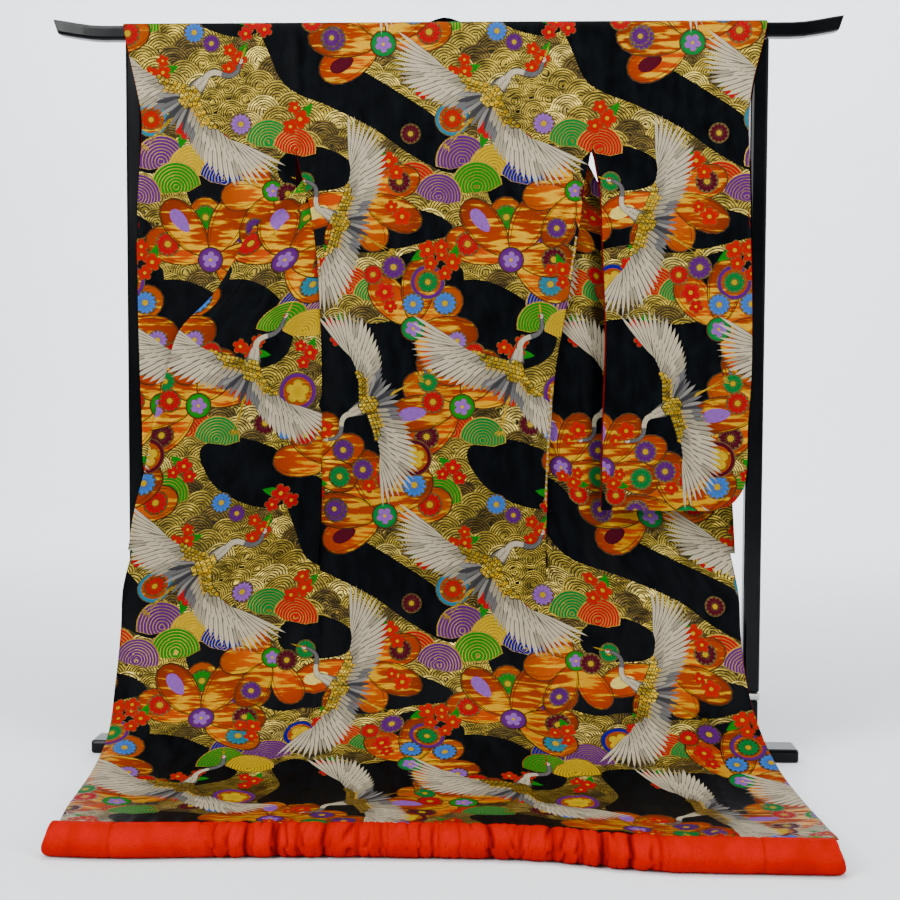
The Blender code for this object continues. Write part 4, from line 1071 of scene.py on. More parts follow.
def gilded_petal(pen, angle, length, half, hub, dye, inside):
    """A great petal: rim, silk, and perhaps a flower and a small cloud in it."""
    root = toward(angle, hub)
    low = 0.8 * root
    pen.lay(petal(low, angle, length + 0.0056, half + 0.0026), THREAD, "rim", low, angle)
    pen.lay(petal(root, angle, length, half), PETAL, dye, root, angle, length)
    middle = toward(angle, 0.60 * length + hub)
    flower, colour = inside
    back = 0.62 * half
    if flower == "kiku":
        kiku(pen, *(middle + toward(angle, 0.2 * back)), half * 0.66, colour)
    elif flower == "plum":
        plum(pen, *(middle + toward(angle, 0.4 * back)), half * 0.56, colour)
        plum(pen, *(middle - toward(angle + 0.4, back)), half * 0.38, colour)
    elif flower == "cloud":
        cloud_line = petal(middle - toward(angle, back), angle, length * 0.42, half * 0.40, 14)
        pen.lay(cloud_line, SILK, colour, middle, angle)


def rosette(place_at, turn, size, insides, hub_dye):
    """Half a rosette of great petals round a small disc."""
    pen = Pen(2.5, place_at, turn, size)
    count = len(insides)
    for k in list(range(0, count, 2)) + list(range(1, count, 2)):
        angle = -math.pi / 2 + (k - (count - 1) / 2) * (ROSETTE_SPREAD / count)
        long = 0.112 + 0.012 * math.sin(k * 2.1)
        dye = PETAL_DYES[k % len(PETAL_DYES)]
        gilded_petal(pen, angle, long, PETAL_HALF, PETAL_HUB, dye, insides[k])
    pen.lay(disc(0, 0, 0.0245, 16), THREAD, "rim")
    pen.lay(disc(0, 0, 0.0220, 16), SILK, hub_dye)
    plum(pen, 0.0, 0.0, 0.0150, "lilac")


PLAIN = ("", "")
# Columns: place, turn, size, what each petal holds, dye of the small disc.
ROSETTES = [
    ((0.500, 0.065), -0.35, 1.12, [("cloud", "maroon"), ("kiku", "purple"), PLAIN, ("plum", "vermilion"),
     ("cloud", "lilac"), ("kiku", "sky"), ("kiku", "red")], "green"),
    ((0.140, 0.500), 0.45, 1.10, [("kiku", "red"), ("cloud", "lilac"), ("kiku", "leaf"), PLAIN,
     ("plum", "purple"), ("kiku", "maroon"), ("kiku", "teal")], "purple"),
    ((0.450, 0.370), 2.8, 1.02, [("kiku", "maroon"), ("plum", "vermilion"), PLAIN, ("kiku", "lilac"),
     ("cloud", "pale gold")], "green"),
    ((0.040, 0.800), -0.6, 1.12, [("kiku", "maroon"), ("cloud", "lilac"), PLAIN, ("kiku", "sky"),
     ("plum", "red"), ("kiku", "purple"), PLAIN], "leaf"),
    ((0.330, 0.925), 0.2, 1.00, [PLAIN, ("kiku", "red"), ("cloud", "lilac"), ("plum", "vermilion"),
     ("kiku", "purple"), ("kiku", "green")], "purple"),
    ((0.560, 0.640), 0.9, 1.05, [("plum", "red"), PLAIN, ("kiku", "sky"), PLAIN, ("kiku", "maroon")],
     "green"),
    ((0.270, 0.360), -2.2, 0.92, [PLAIN, ("kiku", "purple"), PLAIN, ("cloud", "pale gold")], "leaf"),
]
for row in ROSETTES:
    rosette(*row)
print("rosettes:", len(ROSETTES))

# %% Rings, loose kiku and plum sprigs
def ring(place_at, radius, dye, flower, colour):
    """A plain ring with a flower in it."""
    pen = Pen(2.7, place_at, chance.uniform(0, 1))
    for share, kind, fill in ((1.06, THREAD, "deep gold"), (1.0, SILK, dye), (0.80, PETAL, "amber")):
        pen.lay(disc(0, 0, radius * share, 22), kind, fill)
    if flower == "kiku":
        kiku(pen, 0, 0, radius * 0.62, colour)
    else:
        plum(pen, 0, 0, radius * 0.66, colour)


# Columns: place, radius, dye, flower, dye of the flower.
RINGS = [
    ((0.345, 0.545), 0.036, "blue", "plum", "yellow"),
    ((0.590, 0.545), 0.034, "purple", "kiku", "green"),
    ((0.245, 0.770), 0.038, "purple", "plum", "yellow"),
    ((0.020, 0.215), 0.034, "teal", "kiku", "vermilion"),
    ((0.560, 0.905), 0.036, "maroon", "plum", "yellow"),
]
for row in RINGS:
    ring(*row)

# Columns: s, t, radius, dye.
KIKU = [
    (0.355, 0.020, 0.021, "red"), (0.395, 0.052, 0.019, "purple"), (0.205, 0.225, 0.022, "lilac"),
    (0.165, 0.262, 0.019, "red"), (0.555, 0.245, 0.020, "maroon"), (0.520, 0.515, 0.024, "purple"),
    (0.478, 0.530, 0.020, "red"), (0.560, 0.590, 0.022, "sky"), (0.300, 0.365, 0.022, "maroon"),
    (0.338, 0.342, 0.020, "green"), (0.065, 0.690, 0.022, "red"), (0.030, 0.665, 0.020, "lilac"),
    (0.180, 0.835, 0.024, "maroon"), (0.224, 0.850, 0.020, "sky"), (0.600, 0.790, 0.023, "red"),
    (0.590, 0.750, 0.020, "green"), (0.455, 0.930, 0.022, "purple"), (0.500, 0.950, 0.019, "red"),
    (0.110, 0.040, 0.021, "sky"), (0.145, 0.062, 0.018, "purple"),
]
for s, t, radius, dye in KIKU:
    kiku(Pen(3, (s, t), chance.uniform(0, 1)), 0, 0, radius, dye)

# Columns: s, t, dye.
SPRIGS = [
    (0.200, 0.095, "vermilion"), (0.585, 0.135, "red"), (0.045, 0.120, "vermilion"),
    (0.330, 0.215, "vermilion"), (0.090, 0.235, "red"), (0.245, 0.520, "vermilion"),
    (0.400, 0.500, "red"), (0.020, 0.505, "vermilion"), (0.150, 0.690, "vermilion"),
    (0.270, 0.690, "red"), (0.140, 0.780, "vermilion"), (0.350, 0.955, "vermilion"),
    (0.590, 0.480, "vermilion"), (0.410, 0.640, "red"), (0.610, 0.690, "vermilion"),
    (0.020, 0.925, "red"), (0.510, 0.300, "vermilion"), (0.230, 0.020, "red"),
]
for s, t, dye in SPRIGS:
    sprig((s, t), dye, chance.uniform(0.9, 1.15))
print("shapes so far:", len(tile))

# %% [markdown]
# ## Cranes
# A crane is drawn feather by feather in white and pearl silk, each feather lying over the one
# outside it. Gold scales cover its back and shoulders, and beak and legs are gold. Every crane
# comes from one function and a row of numbers, so no two are the same.

# %% One wing
POINTED = (0.72, 1.00, 0.94, 0.58)      # half widths at even steps, as shares
BLUNT = (0.85, 1.00, 1.00, 0.80)


def feathers(pen, on_arm, count, arm, angles, lengths, half, outline, dyes):
    """A row of feathers from the wing's tip inwards. Pairs give the values at both ends."""
    for k in range(count - 1, -1, -1):
        u = k / (count - 1)
        root = on_arm(arm[0] + (arm[1] - arm[0]) * u)
        angle = angles[0] + (angles[1] - angles[0]) * u ** 1.2
        long = lengths[0] + (lengths[1] - lengths[0]) * u + 0.025 * lengths[0] * math.sin(5.0 * k)
        line = leaf(root, angle, long, [half * w for w in outline])
        pen.lay(line, FEATHER, dyes[min(int(u * len(dyes)), len(dyes) - 1)], tuple(root), angle, half)


def wing(pen, shoulder, lift, reach, spread, bend):
    """Primaries, secondaries and coverts on a short bent arm, and gold scales on the shoulder."""
    shoulder = np.array(shoulder)
    hand = lift + bend
    elbow = shoulder + toward(lift, 0.23 * reach)
    wrist = elbow + toward(lift + 0.6 * bend, 0.24 * reach)

    def on_arm(u):
        return shoulder + (elbow - shoulder) * 2 * u if u < 0.5 else elbow + (wrist - elbow) * (2 * u - 1)

    inner, outer = hand + 1.15 * spread, hand + 0.66 * spread
    feathers(pen, on_arm, 10, (0.80, 1.0), (outer, hand - 0.06 * spread),
             (0.50 * reach, 0.53 * reach), 0.0215 * reach, POINTED, ("pearl", "white", "white"))
    feathers(pen, on_arm, 12, (0.02, 0.82), (inner, outer + 0.03 * spread),
             (0.33 * reach, 0.48 * reach), 0.027 * reach, BLUNT, ("grey", "pearl", "white", "white"))
    feathers(pen, on_arm, 12, (0.03, 0.98), (inner, hand + 0.42 * spread),
             (0.22 * reach, 0.30 * reach), 0.026 * reach, BLUNT, ("pearl", "white", "white"))
    feathers(pen, on_arm, 11, (0.03, 0.99), (inner, hand + 0.45 * spread),
             (0.12 * reach, 0.17 * reach), 0.024 * reach, BLUNT, ("thread", "pearl", "white"))
    side = toward(hand + 0.9 * spread, 1.0)
    for row in (2, 1, 0):
        for k in range(9 - 2 * row):
            centre = on_arm(0.085 * (k + 0.5 * (row % 2))) + side * (0.040 * row - 0.008) * reach
            pen.lay(disc(*centre, 0.027 * reach, 7), GOLD, ("scale", "gold")[(k + row) % 2],
                    tuple(centre), pitch=0.027 * reach)


print("feathers in a wing:", 10 + 12 + 12 + 11)

# %% One crane
NECK_STEPS = 12
SCALE_SIZE = 0.0064


def crane(place_at, turn, size, flip, near, far, neck_bend):
    """near and far are (lift, reach, spread, bend) of the two wings. The crane flies to +x."""
    pen = Pen(4, place_at, turn, size, flip)
    for k, angle in enumerate((2.98, 3.14)):
        pen.lay(leaf((-0.046, 0.007 * k), angle, 0.086, (0.0019, 0.0016, 0.0014)), THREAD, "scale")
        end = (-0.046 + 0.086 * math.cos(angle), 0.007 * k + 0.086 * math.sin(angle))
        for claw in (-0.5, 0.0, 0.5):
            pen.lay(leaf(end, angle + claw, 0.014, (0.0013, 0.0010)), THREAD, "scale")
    wing(pen, (0.006, -0.010), *far)
    for k in (0, 8, 1, 7, 2, 6, 3, 5, 4):
        angle = math.pi + 0.19 * (k - 4)
        root = (-0.016, -0.0030 * (k - 4))
        pen.lay(leaf(root, angle, 0.064 - 0.0022 * abs(k - 4), (0.0040, 0.0052, 0.0050, 0.0034)),
                FEATHER, ("grey", "slate", "ash")[k % 3], root, angle, 0.0052)
    for grow, colour in ((0.0012, "slate"), (0.0, "white")):
        widths = [grow + w for w in (0.013, 0.0145, 0.010, 0.006)]
        breast = leaf((-0.014, 0.0), -0.10, 0.072 + grow, widths)
        pen.lay(breast, FEATHER, colour, (-0.014, 0.0), -0.10, 0.016)
    line, angle = [(0.038, -0.004)], -0.15 - 0.35 * neck_bend
    for k in range(NECK_STEPS):
        angle += neck_bend * (0.42 * math.sin(2 * math.pi * k / NECK_STEPS + 0.5))
        line.append(tuple(np.array(line[-1]) + toward(angle, 0.0078)))
    line = np.array(line)
    steps = np.diff(line, axis=0)
    steps = np.concatenate((steps[:1], (steps[1:] + steps[:-1]) / 2, steps[-1:]))
    aside = np.stack([-steps[:, 1], steps[:, 0]], axis=1) / np.linalg.norm(steps, axis=1)[:, None]
    for start, grow, colour in ((0, 0.0012, "slate"), (0, 0.0, "white"), (5, 0.0, "grey")):
        half = (0.0062 - 0.0034 * np.arange(NECK_STEPS + 1) / NECK_STEPS + grow)[:, None]
        one, two = line + aside * half, line - aside * half
        pen.lay(np.concatenate((one[start:], two[start:][::-1])), SILK, colour, (0.0, 0.0), -0.25)
    head = line[-1]
    beak = leaf(head + toward(angle, 0.003), angle, 0.030, (0.0023, 0.0018, 0.0010))
    pen.lay(beak, THREAD, "scale")
    pen.lay(disc(*head, 0.0066, 10, 0.75, angle), SILK, "slate")
    pen.lay(disc(*head, 0.0054, 10, 0.75, angle), SILK, "white")
    crown = head + toward(angle - math.pi / 2, 0.0032)
    pen.lay(disc(*crown, 0.0036, 8, 0.6, angle), SILK, "red")
    pen.lay(disc(head[0] + 0.002, head[1] - 0.0005, 0.0010, 6), SILK, "ground")
    wing(pen, (0.000, 0.008), *near)
    for row in range(5):
        for k in range(-2, 3):
            x, y = -0.024 + 0.0085 * row, 0.0078 * k + 0.0039 * (row % 2)
            if (x + 0.006) ** 2 / 0.022 ** 2 + y ** 2 / 0.018 ** 2 < 1.0:
                pen.lay(disc(x, y, SCALE_SIZE, 7), GOLD, ("scale", "gold")[(k + row) % 2], (x, y),
                        pitch=SCALE_SIZE)


# Columns: place, turn, size, flip, near wing, far wing, neck bend.
CRANES = [
    ((0.105, 0.165), -0.75, 1.05, False, (1.80, 0.225, 1.20, -0.55), (-2.10, 0.215, -1.15, 0.30), 1.0),
    ((0.405, 0.420), 0.45, 0.92, True, (1.75, 0.225, 1.30, -0.30), (-1.55, 0.225, -1.25, 0.40), -0.9),
    ((0.150, 0.720), -1.25, 1.00, False, (2.25, 0.215, 1.15, -0.60), (-1.65, 0.225, -1.25, 0.25), 0.9),
    ((0.462, 0.800), -0.55, 0.92, True, (1.35, 0.220, 1.30, -0.20), (-2.10, 0.230, -1.15, 0.60), 0.9),
]
for row in CRANES:
    crane(*row)
print("shapes in one repeat:", len(tile), "corners:", sum(len(shape["line"]) for shape in tile))

# %% The repeat laid out over the cloth
ACROSS, DOWNWARD = range(-2, 3), range(-1, 3)    # repeats that cover the whole robe
LARGE = 0.012             # narrower shapes hide nothing


def inside(points, line):
    """Which points lie inside a closed line."""
    x, y = points[:, 0:1], points[:, 1:2]
    x0, y0 = line[:, 0][None, :], line[:, 1][None, :]
    x1, y1 = np.roll(line[:, 0], -1)[None, :], np.roll(line[:, 1], -1)[None, :]
    with np.errstate(divide="ignore", invalid="ignore"):
        cross = (y0 > y) != (y1 > y)
        hits = cross & (x < (x1 - x0) * (y - y0) / (y1 - y0) + x0)
    return hits.sum(axis=1) % 2 == 1


def copies(shape, number, across, downward):
    """One shape of the repeat in many copies, with its place in the painting order."""
    out = []
    for m in downward:
        for k in across:
            move = np.array([k * TILE_WIDTH, m * TILE_HEIGHT])
            line = shape["line"] + move
            order = line[:, 1].mean() if shape["layer"] == 0 else number
            out.append({**shape, "line": line, "order": (shape["layer"], order),
                        "centre": tuple(np.array(shape["centre"]) + move)})
    return out


def shown_shapes():
    """The shapes of the repeat that other shapes don't hide altogether."""
    around = [copy for number, shape in enumerate(tile) if shape["layer"] >= 1
              for copy in copies(shape, number, (-1, 0, 1), (-1, 0, 1))]
    lows = np.array([shape["line"].min(axis=0) for shape in around])
    highs = np.array([shape["line"].max(axis=0) for shape in around])
    large = (highs - lows).min(axis=1) > LARGE
    orders = [shape["order"] for shape in around]
    kept = []
    for number, shape in enumerate(tile):
        low, high = shape["line"].min(axis=0), shape["line"].max(axis=0)
        round_it = np.flatnonzero(large & (lows < low).all(axis=1) & (highs > high).all(axis=1))
        mine = (shape["layer"], number if shape["layer"] else 0.0)
        if not any(orders[i] > mine and inside(shape["line"], around[i]["line"]).all() for i in round_it):
            kept.append((number, shape))
    return kept


kept_shapes = shown_shapes()
everywhere = [copy for number, shape in kept_shapes for copy in copies(shape, number, ACROSS, DOWNWARD)]
design = sorted(everywhere, key=lambda shape: shape["order"])
print("shapes kept of one repeat:", len(kept_shapes), "over the cloth:", len(design))

# %% [markdown]
# ## Weaving the panels
# The design is cut into each panel as real outlines: a constrained triangulation takes the
# panel's edge, every motif and a net of points, and gives triangles that stop at each outline.
# Each triangle takes the finish and the dye of the topmost motif that covers it. This keeps the
# edges of the threads crisp from any distance, and the sheet stays one sheet.

# %% The net of points
NET = 0.0105
NET_OVER_ROD = 0.0023
NET_BEND = 0.24           # radians of bend between two points
NET_BEND_DOWN = 0.031     # the net over the rod ends here
LADDER_FROM, LADDER_CLEAR = 0.034, 0.003


def net_points(panel):
    """Places on the panel, closer together where it bends."""
    places = []
    start = max(panel.t[0], NET_BEND_DOWN) + 0.006
    rows = np.concatenate((np.arange(panel.t[0] + NET_OVER_ROD, NET_BEND_DOWN, NET_OVER_ROD),
                           np.arange(start, panel.t[-1] - 0.004, NET)))
    for number, t in enumerate(rows):
        i = int(np.searchsorted(panel.t, t).clip(1, len(panel.t) - 1))
        lengths = np.linalg.norm(np.diff(panel.points[i], axis=0), axis=1)
        cosines = np.clip((panel.normals[i, 1:] * panel.normals[i, :-1]).sum(axis=1), -1, 1)
        load = np.concatenate(([0.0], np.cumsum(lengths / NET + np.arccos(cosines) / NET_BEND)))
        marks = np.arange(0.5 if number % 2 else 1.0, load[-1] - 0.4, 1.0)
        shares = np.interp(marks, load, panel.share)
        s0, s1 = panel.edges(t)
        places.extend((s0 + (s1 - s0) * share, t) for share in shares)
    return places


print("net of the right back:", len(net_points(panels["back_right"])), "points")

# %% Cutting one panel
def panel_edge(panel):
    """The panel's edge as a closed line of places."""
    ladder = np.arange(LADDER_FROM, HEM_DOWN, NET)      # every panel uses the same steps
    top, low = panel.t[0] + LADDER_CLEAR, panel.t[-1] - LADDER_CLEAR
    ladder = ladder[(ladder > top) & (ladder < low)]
    downs = np.concatenate((np.arange(panel.t[0], NET_BEND_DOWN, NET_OVER_ROD), ladder, [panel.t[-1]]))
    if panel.t[0] > 0.0:
        downs = np.append(panel.t[0], downs)
    left, right = (list(zip(line.tolist(), downs)) for line in panel.edges(downs))

    def across(one, other):
        width = other[0] - one[0]
        count = max(int(width / NET), 1)
        return [(one[0] + width * k / count, one[1]) for k in range(1, count)]

    return left + across(left[-1], right[-1]) + right[::-1] + across(left[0], right[0])[::-1]


# The cloth where no motif lies.
BARE = {"finish": SATIN, "dye": GROUND, "centre": (0.0, 0.0), "turn": 0.0, "radial": False,
        "pitch": STRAND_PITCH}


def cut(panel, shapes):
    """Cut the shapes into a panel: places, triangles, shapes kept, and which is on top of each."""
    edge = [(panel.side * s, t) for s, t in panel_edge(panel)]
    corners, faces = [], []

    def take(line):
        area = sum(a[0] * b[1] - b[0] * a[1] for a, b in zip(line, line[1:] + line[:1]))
        ids = list(range(len(corners), len(corners) + len(line)))
        corners.extend(Vector((float(p[0]), float(p[1]))) for p in line)
        faces.append(ids if area > 0 else ids[::-1])

    take(edge)
    low_s, high_s = min(p[0] for p in edge), max(p[0] for p in edge)
    low_t, high_t = panel.t[0], panel.t[-1]
    kept = [BARE]
    for shape in shapes:
        line = shape["line"]
        lo, hi = line.min(axis=0), line.max(axis=0)
        if hi[0] > low_s and lo[0] < high_s and hi[1] > low_t and lo[1] < high_t:
            take([tuple(p) for p in line])
            kept.append(shape)
    corners.extend(Vector((float(panel.side * s), float(t))) for s, t in net_points(panel))
    verts, _, tris, _, _, covers = delaunay_2d_cdt(corners, [], faces, 1, CLOSE, True)
    pairs = [(tri, max(cover)) for tri, cover in zip(tris, covers) if 0 in cover and len(tri) == 3]
    tris, top = (np.array(column_of) for column_of in zip(*pairs))
    return np.array([(v.x, v.y) for v in verts]), tris, kept, top


print("net:", NET, "m between points, and", NET_OVER_ROD, "m over the rod")

# %% Weaving one panel
def weave(panel, shapes, materials):
    """One sheet of brocade from a panel's form and the shapes of the design that reach it."""
    places, tris, kept, top = cut(panel, shapes)
    points, normals = panel.look_up(places[:, 0] * panel.side, places[:, 1])
    used = np.unique(tris)
    renumber = np.full(len(points), -1)
    renumber[used] = np.arange(len(used))
    points, normals, places, tris = points[used], normals[used], places[used], renumber[tris]
    facing = np.cross(points[tris[:, 1]] - points[tris[:, 0]], points[tris[:, 2]] - points[tris[:, 0]])
    if (facing * normals[tris[:, 0]]).sum() < 0:
        tris = tris[:, ::-1]
    points[:, 1] += ROD_Y
    brocade = put(panel.name + "_brocade", points.tolist(), tris.tolist(), *materials)
    mesh = brocade.data

    def of_top(key):
        return np.array([shape[key] for shape in kept])[top]

    mesh.polygons.foreach_set("material_index", of_top("finish").astype(np.int32))
    layer = mesh.color_attributes.new("dye", "FLOAT_COLOR", "CORNER")
    layer.data.foreach_set("color", np.repeat(of_top("dye"), 3, axis=0).ravel())
    off = places[tris] - of_top("centre")[:, None, :]
    x, y = off[..., 0], off[..., 1]
    cos, sin = np.cos(of_top("turn"))[:, None], np.sin(of_top("turn"))[:, None]
    straight = np.stack([x * cos + y * sin, y * cos - x * sin], -1)
    round_about = np.stack([np.hypot(x, y), np.zeros(x.shape)], -1)
    strand = np.where(of_top("radial")[:, None, None], round_about, straight)
    strand = strand / of_top("pitch")[:, None, None]
    mesh.uv_layers.new(name="cloth").data.foreach_set("uv", places[tris].ravel())
    mesh.uv_layers.new(name="strand").data.foreach_set("uv", strand.ravel())
    mesh.normals_split_custom_set_from_vertices(normals.tolist())
    return brocade


print("shapes that may lie on a panel:", len(design))

# %% [markdown]
# ## The red lining
# Behind the brocade lies a plain red silk lining, a little larger than the brocade, so that a
# thin red line shows along every free edge. It is a second sheet under the first, whose rim
# comes round the edge of the brocade.

# %% Lining sheets
LINING_DEPTH = 0.0020
RIM = 0.0011              # how far the red line stands out past the brocade
TUCK = 0.0002             # the rim ends this far under the brocade's face
SEWN_SHARE = 0.3          # of the rim, where the edge is sewn but still seen


def free_rim(panel, edge, t):
    """How far the lining stands out at an edge: 0 where the edge is sewn to another piece."""
    shown = np.zeros(len(t))
    if panel.kind == "sleeve":
        shown = ease(t, ARM_DOWN - 0.01, ARM_DOWN) if edge == 0 else 1 - ease(t, 0.30, SLEEVE_CUFF_DOWN)
        shown = np.maximum(shown, SEWN_SHARE * (edge == 1))
    elif (panel.kind, edge) in SIDE_EDGES:
        shown = side_opening(t, SIDE_SEAM_DOWN - 0.02)
    elif (panel.kind, edge) == ("okumi", 1):
        shown = ease(t, COLLAR_END_DOWN - 0.02, COLLAR_END_DOWN + 0.01)
    elif (panel.kind, edge) == ("collar", 1):
        shown = SEWN_SHARE * np.ones(len(t))
    return RIM * shown


def lining_sheet(panel, material):
    """The lining of one panel, with its rim."""
    bend, last = np.searchsorted(panel.t, NET_BEND_DOWN), len(panel.t) - 1
    rows = np.unique(np.concatenate((np.arange(0, bend, 2), np.arange(bend, last, 3), [last])))
    every = 4 if panel.kind == "front" else 5
    cols = np.unique(np.append(np.arange(0, len(panel.share), every), len(panel.share) - 1))
    points = panel.points[np.ix_(rows, cols)]
    normals = panel.normals[np.ix_(rows, cols)]
    t = panel.t[rows]
    inner = points - normals * LINING_DEPTH

    def edge_rim(point, normal, outward, reach):
        outward = outward / np.linalg.norm(outward, axis=1, keepdims=True)
        reach = reach[:, None]
        middle = point - normal * LINING_DEPTH * 0.5 + outward * reach
        return middle, point - normal * TUCK + outward * (0.25 * reach)

    left_mid, left_top = edge_rim(points[:, 0], normals[:, 0], points[:, 0] - points[:, 1],
                                  free_rim(panel, 0, t))
    right_mid, right_top = edge_rim(points[:, -1], normals[:, -1], points[:, -1] - points[:, -2],
                                    free_rim(panel, 1, t))
    grid = np.concatenate((left_top[:, None], left_mid[:, None], inner, right_mid[:, None],
                           right_top[:, None]), axis=1)
    foot, foot_normal = (np.pad(field[-1:], ((0, 0), (2, 2), (0, 0)), "edge")
                         for field in (points, normals))
    grid = np.concatenate((grid, foot - foot_normal * TUCK), axis=0)
    flat = grid.reshape(-1, 3) + np.array([0.0, ROD_Y, 0.0])
    return put(panel.name + "_lining", flat.tolist(), grid_faces(*grid.shape[:2]), material)


print("the red line stands out", 1000 * RIM, "mm")

# %% [markdown]
# ## The padded hem
# The fuki is a tube of vermilion silk filled with silk wadding. The silk is longer than the hem
# and gathered onto it, so the roll swells into lumps a few centimetres wide with fine wrinkles
# between them, and runs smooth towards both front corners. It is modelled as a fine roll on the
# form of its solid: a simulation would lose the place of the lumps that the solid shares.

# %% The roll's form
PAST_LEFT, PAST_RIGHT = 0.032, 0.008         # the roll runs on past the cloth
FUKI_LEFT = -LEFT_FRONT[-1][4] - PAST_LEFT
FUKI_RIGHT = RIGHT_FRONT[-1][4] + PAST_RIGHT
ROLL_SIDES = 40
ROLL_STEP = 0.0016
DEEPER = 1.25             # the silk sinks a little deeper at a pinch than its solid
SEAM_DRAW, SEAM_WIDTH = 0.05, 0.003          # a seam round the roll draws it in a little
FLOOR_CLEAR = 0.0003
FULL_SHADE_FOLD = 0.008         # a fold this deep gets the full painted shade


def gather(x):
    """How far the gathers draw the roll in: round lumps between sharp pinches."""
    marks, depths = np.array(PINCHES).T
    share = np.interp(x, marks, np.arange(len(marks))) % 1.0
    depth = DEEPER * FUKI_PINCH * float(np.interp(x, marks, depths))
    return depth * (1 - math.sin(math.pi * share) ** 0.6)


# Columns: pitch, drift, depth, seed of the creases that cross the roll.
CREASES = [(0.0270, 0.0060, 0.0036, 0.4), (0.0132, 0.0042, 0.0018, 2.1), (0.0068, 0.0024, 0.0008, 4.0)]


def wrinkle(x, angle):
    """Narrow creases across the roll. They lean, drift and die away, so no two are alike."""
    gathered = ease(x, -0.43, -0.32) * (1 - ease(x, 0.36, 0.47))
    depth = np.zeros(angle.shape)
    for pitch, drift, deep, seed in CREASES:
        lean = drift * np.sin(1.3 * angle + x * 37.0 + seed)
        phase = math.pi * (x + lean) / pitch + 1.5 * math.sin(x * 23.0 + seed)
        narrow = (1 - np.abs(np.sin(phase))) ** 2
        shown = np.clip(0.45 + 0.75 * np.sin(1.2 * angle + x * 55.0 + 2 * seed), 0.0, 1.0)
        depth -= deep * narrow * shown
    return (0.16 + 0.84 * gathered) * depth


def hem_reach(x):
    """How far the hem lies out in front of the rod."""
    longer = column(HEM_EXTRA, 1, x)
    return float(hang(HEM_DOWN + longer)[0]) + SEAM_GAP


print("roll from", round(FUKI_LEFT, 3), "to", round(FUKI_RIGHT, 3), "m")

# %% One length of the roll
def roll(name, left, right, material):
    """A closed, padded length of the hem between two seams."""
    count = int((right - left) / ROLL_STEP)
    angle = 2 * math.pi * np.arange(ROLL_SIDES) / ROLL_SIDES
    forward = np.cos(angle)
    rings, painted_fold_shade = [], []
    for x in np.linspace(left, right, count + 1):
        inward = 1 if x - FUKI_LEFT < FUKI_RIGHT - x else -1
        tip = min(min(x - FUKI_LEFT, FUKI_RIGHT - x) / FUKI_END_ROUND, 1.0)
        size = FUKI_END_SIZE + (1 - FUKI_END_SIZE) * math.sqrt(max(1 - (1 - tip) ** 2, 0.0))
        slant = inward * FUKI_END_SLANT * (1 - float(ease(tip, 0.0, 1.0)))
        from_seam = min(abs(x - left), abs(right - x))
        seam = 1.0 - SEAM_DRAW * math.exp(-(from_seam / SEAM_WIDTH) ** 2)
        drawn_in = gather(x) * np.sqrt(0.5 + 0.5 * forward)
        fine = wrinkle(x, angle) * size
        reach = (FUKI_DEPTH / 2 * size * seam - drawn_in + fine) * forward + FUKI_BACK
        half_height = FUKI_HEIGHT / 2 * size * seam - FUKI_PINCH_LIFT * drawn_in + fine
        z = np.maximum(half_height * np.sin(angle) + FUKI_MIDDLE_Z, FLOOR_CLEAR)
        y = ROD_Y - (hem_reach(x) + np.maximum(reach, 0.0))
        rings.append(np.stack([x + slant * z / FUKI_HEIGHT, y, z], axis=-1))
        # painted shade: the silk is darkened where the gathers draw it in and the creases sink
        painted_fold_shade.append(np.clip((1.2 * drawn_in - 1.6 * fine) / FULL_SHADE_FOLD, 0.0, 1.0))
    points = np.concatenate(rings)
    ids = np.arange(len(points)).reshape(len(rings), ROLL_SIDES)
    after = np.roll(ids, -1, axis=1)
    quads = np.stack([ids[:-1], after[:-1], after[1:], ids[1:]], axis=-1).reshape(-1, 4).tolist()
    caps = [ids[0].tolist(), ids[-1][::-1].tolist()]
    length = put(name, points.tolist(), quads + caps, material)
    mesh = length.data
    folds = mesh.color_attributes.new("painted_fold_shade", "FLOAT_COLOR", "POINT")
    folds.data.foreach_set("color", np.repeat(np.concatenate(painted_fold_shade), 4))
    facing = bmesh.new()
    facing.from_mesh(mesh)
    bmesh.ops.recalc_face_normals(facing, faces=facing.faces)
    facing.to_mesh(mesh)
    facing.free()
    return length


print("rings to the metre:", round(1 / ROLL_STEP))

# %% [markdown]
# ## What the threads are made of
# A brocade has two kinds of thread. Silk takes dye and has a soft gloss along its length. Gold
# thread is lacquered paper with gold leaf, cut in strips and wound on silk: a real metal skin,
# a little rough. Both lie in fine lines, and those lines are what makes cloth look woven, so
# every finish below starts from a small helper that draws lines from a place on the cloth.

# %% Lines and clouds
def place_on(tree, uv_map):
    """The two measures of a place, along and across, and the place itself."""
    uv = add(tree, "UVMap", uv_map=uv_map)
    along, across, _ = add(tree, "SeparateXYZ", uv, out=slice(None))
    return along, across, uv


def ribs(tree, value, pitch):
    """0 between two threads and 1 on the back of each, at a pitch in the units of value."""
    phase = add(tree, "Math", value, 2 * math.pi / pitch, operation="MULTIPLY")
    wave = add(tree, "Math", phase, operation="SINE")
    return add(tree, "Math", wave, 0.5, 0.5, operation="MULTIPLY_ADD")


def cloud(tree, vector, scale, stretch=(1.0, 1.0, 1.0), detail=2.0):
    """Soft noise, which may be drawn out along one direction."""
    drawn = add(tree, "Mapping", vector, Scale=stretch)
    return add(tree, "TexNoise", Vector=drawn, Scale=scale, Detail=detail)


def from_arc(tree, ring, middle):
    """How far a place lies from the middle of its arc, in widths of an arc."""
    within = add(tree, "Math", ring, operation="FRACT")
    off = add(tree, "Math", within, middle, operation="SUBTRACT")
    return add(tree, "Math", off, operation="ABSOLUTE")


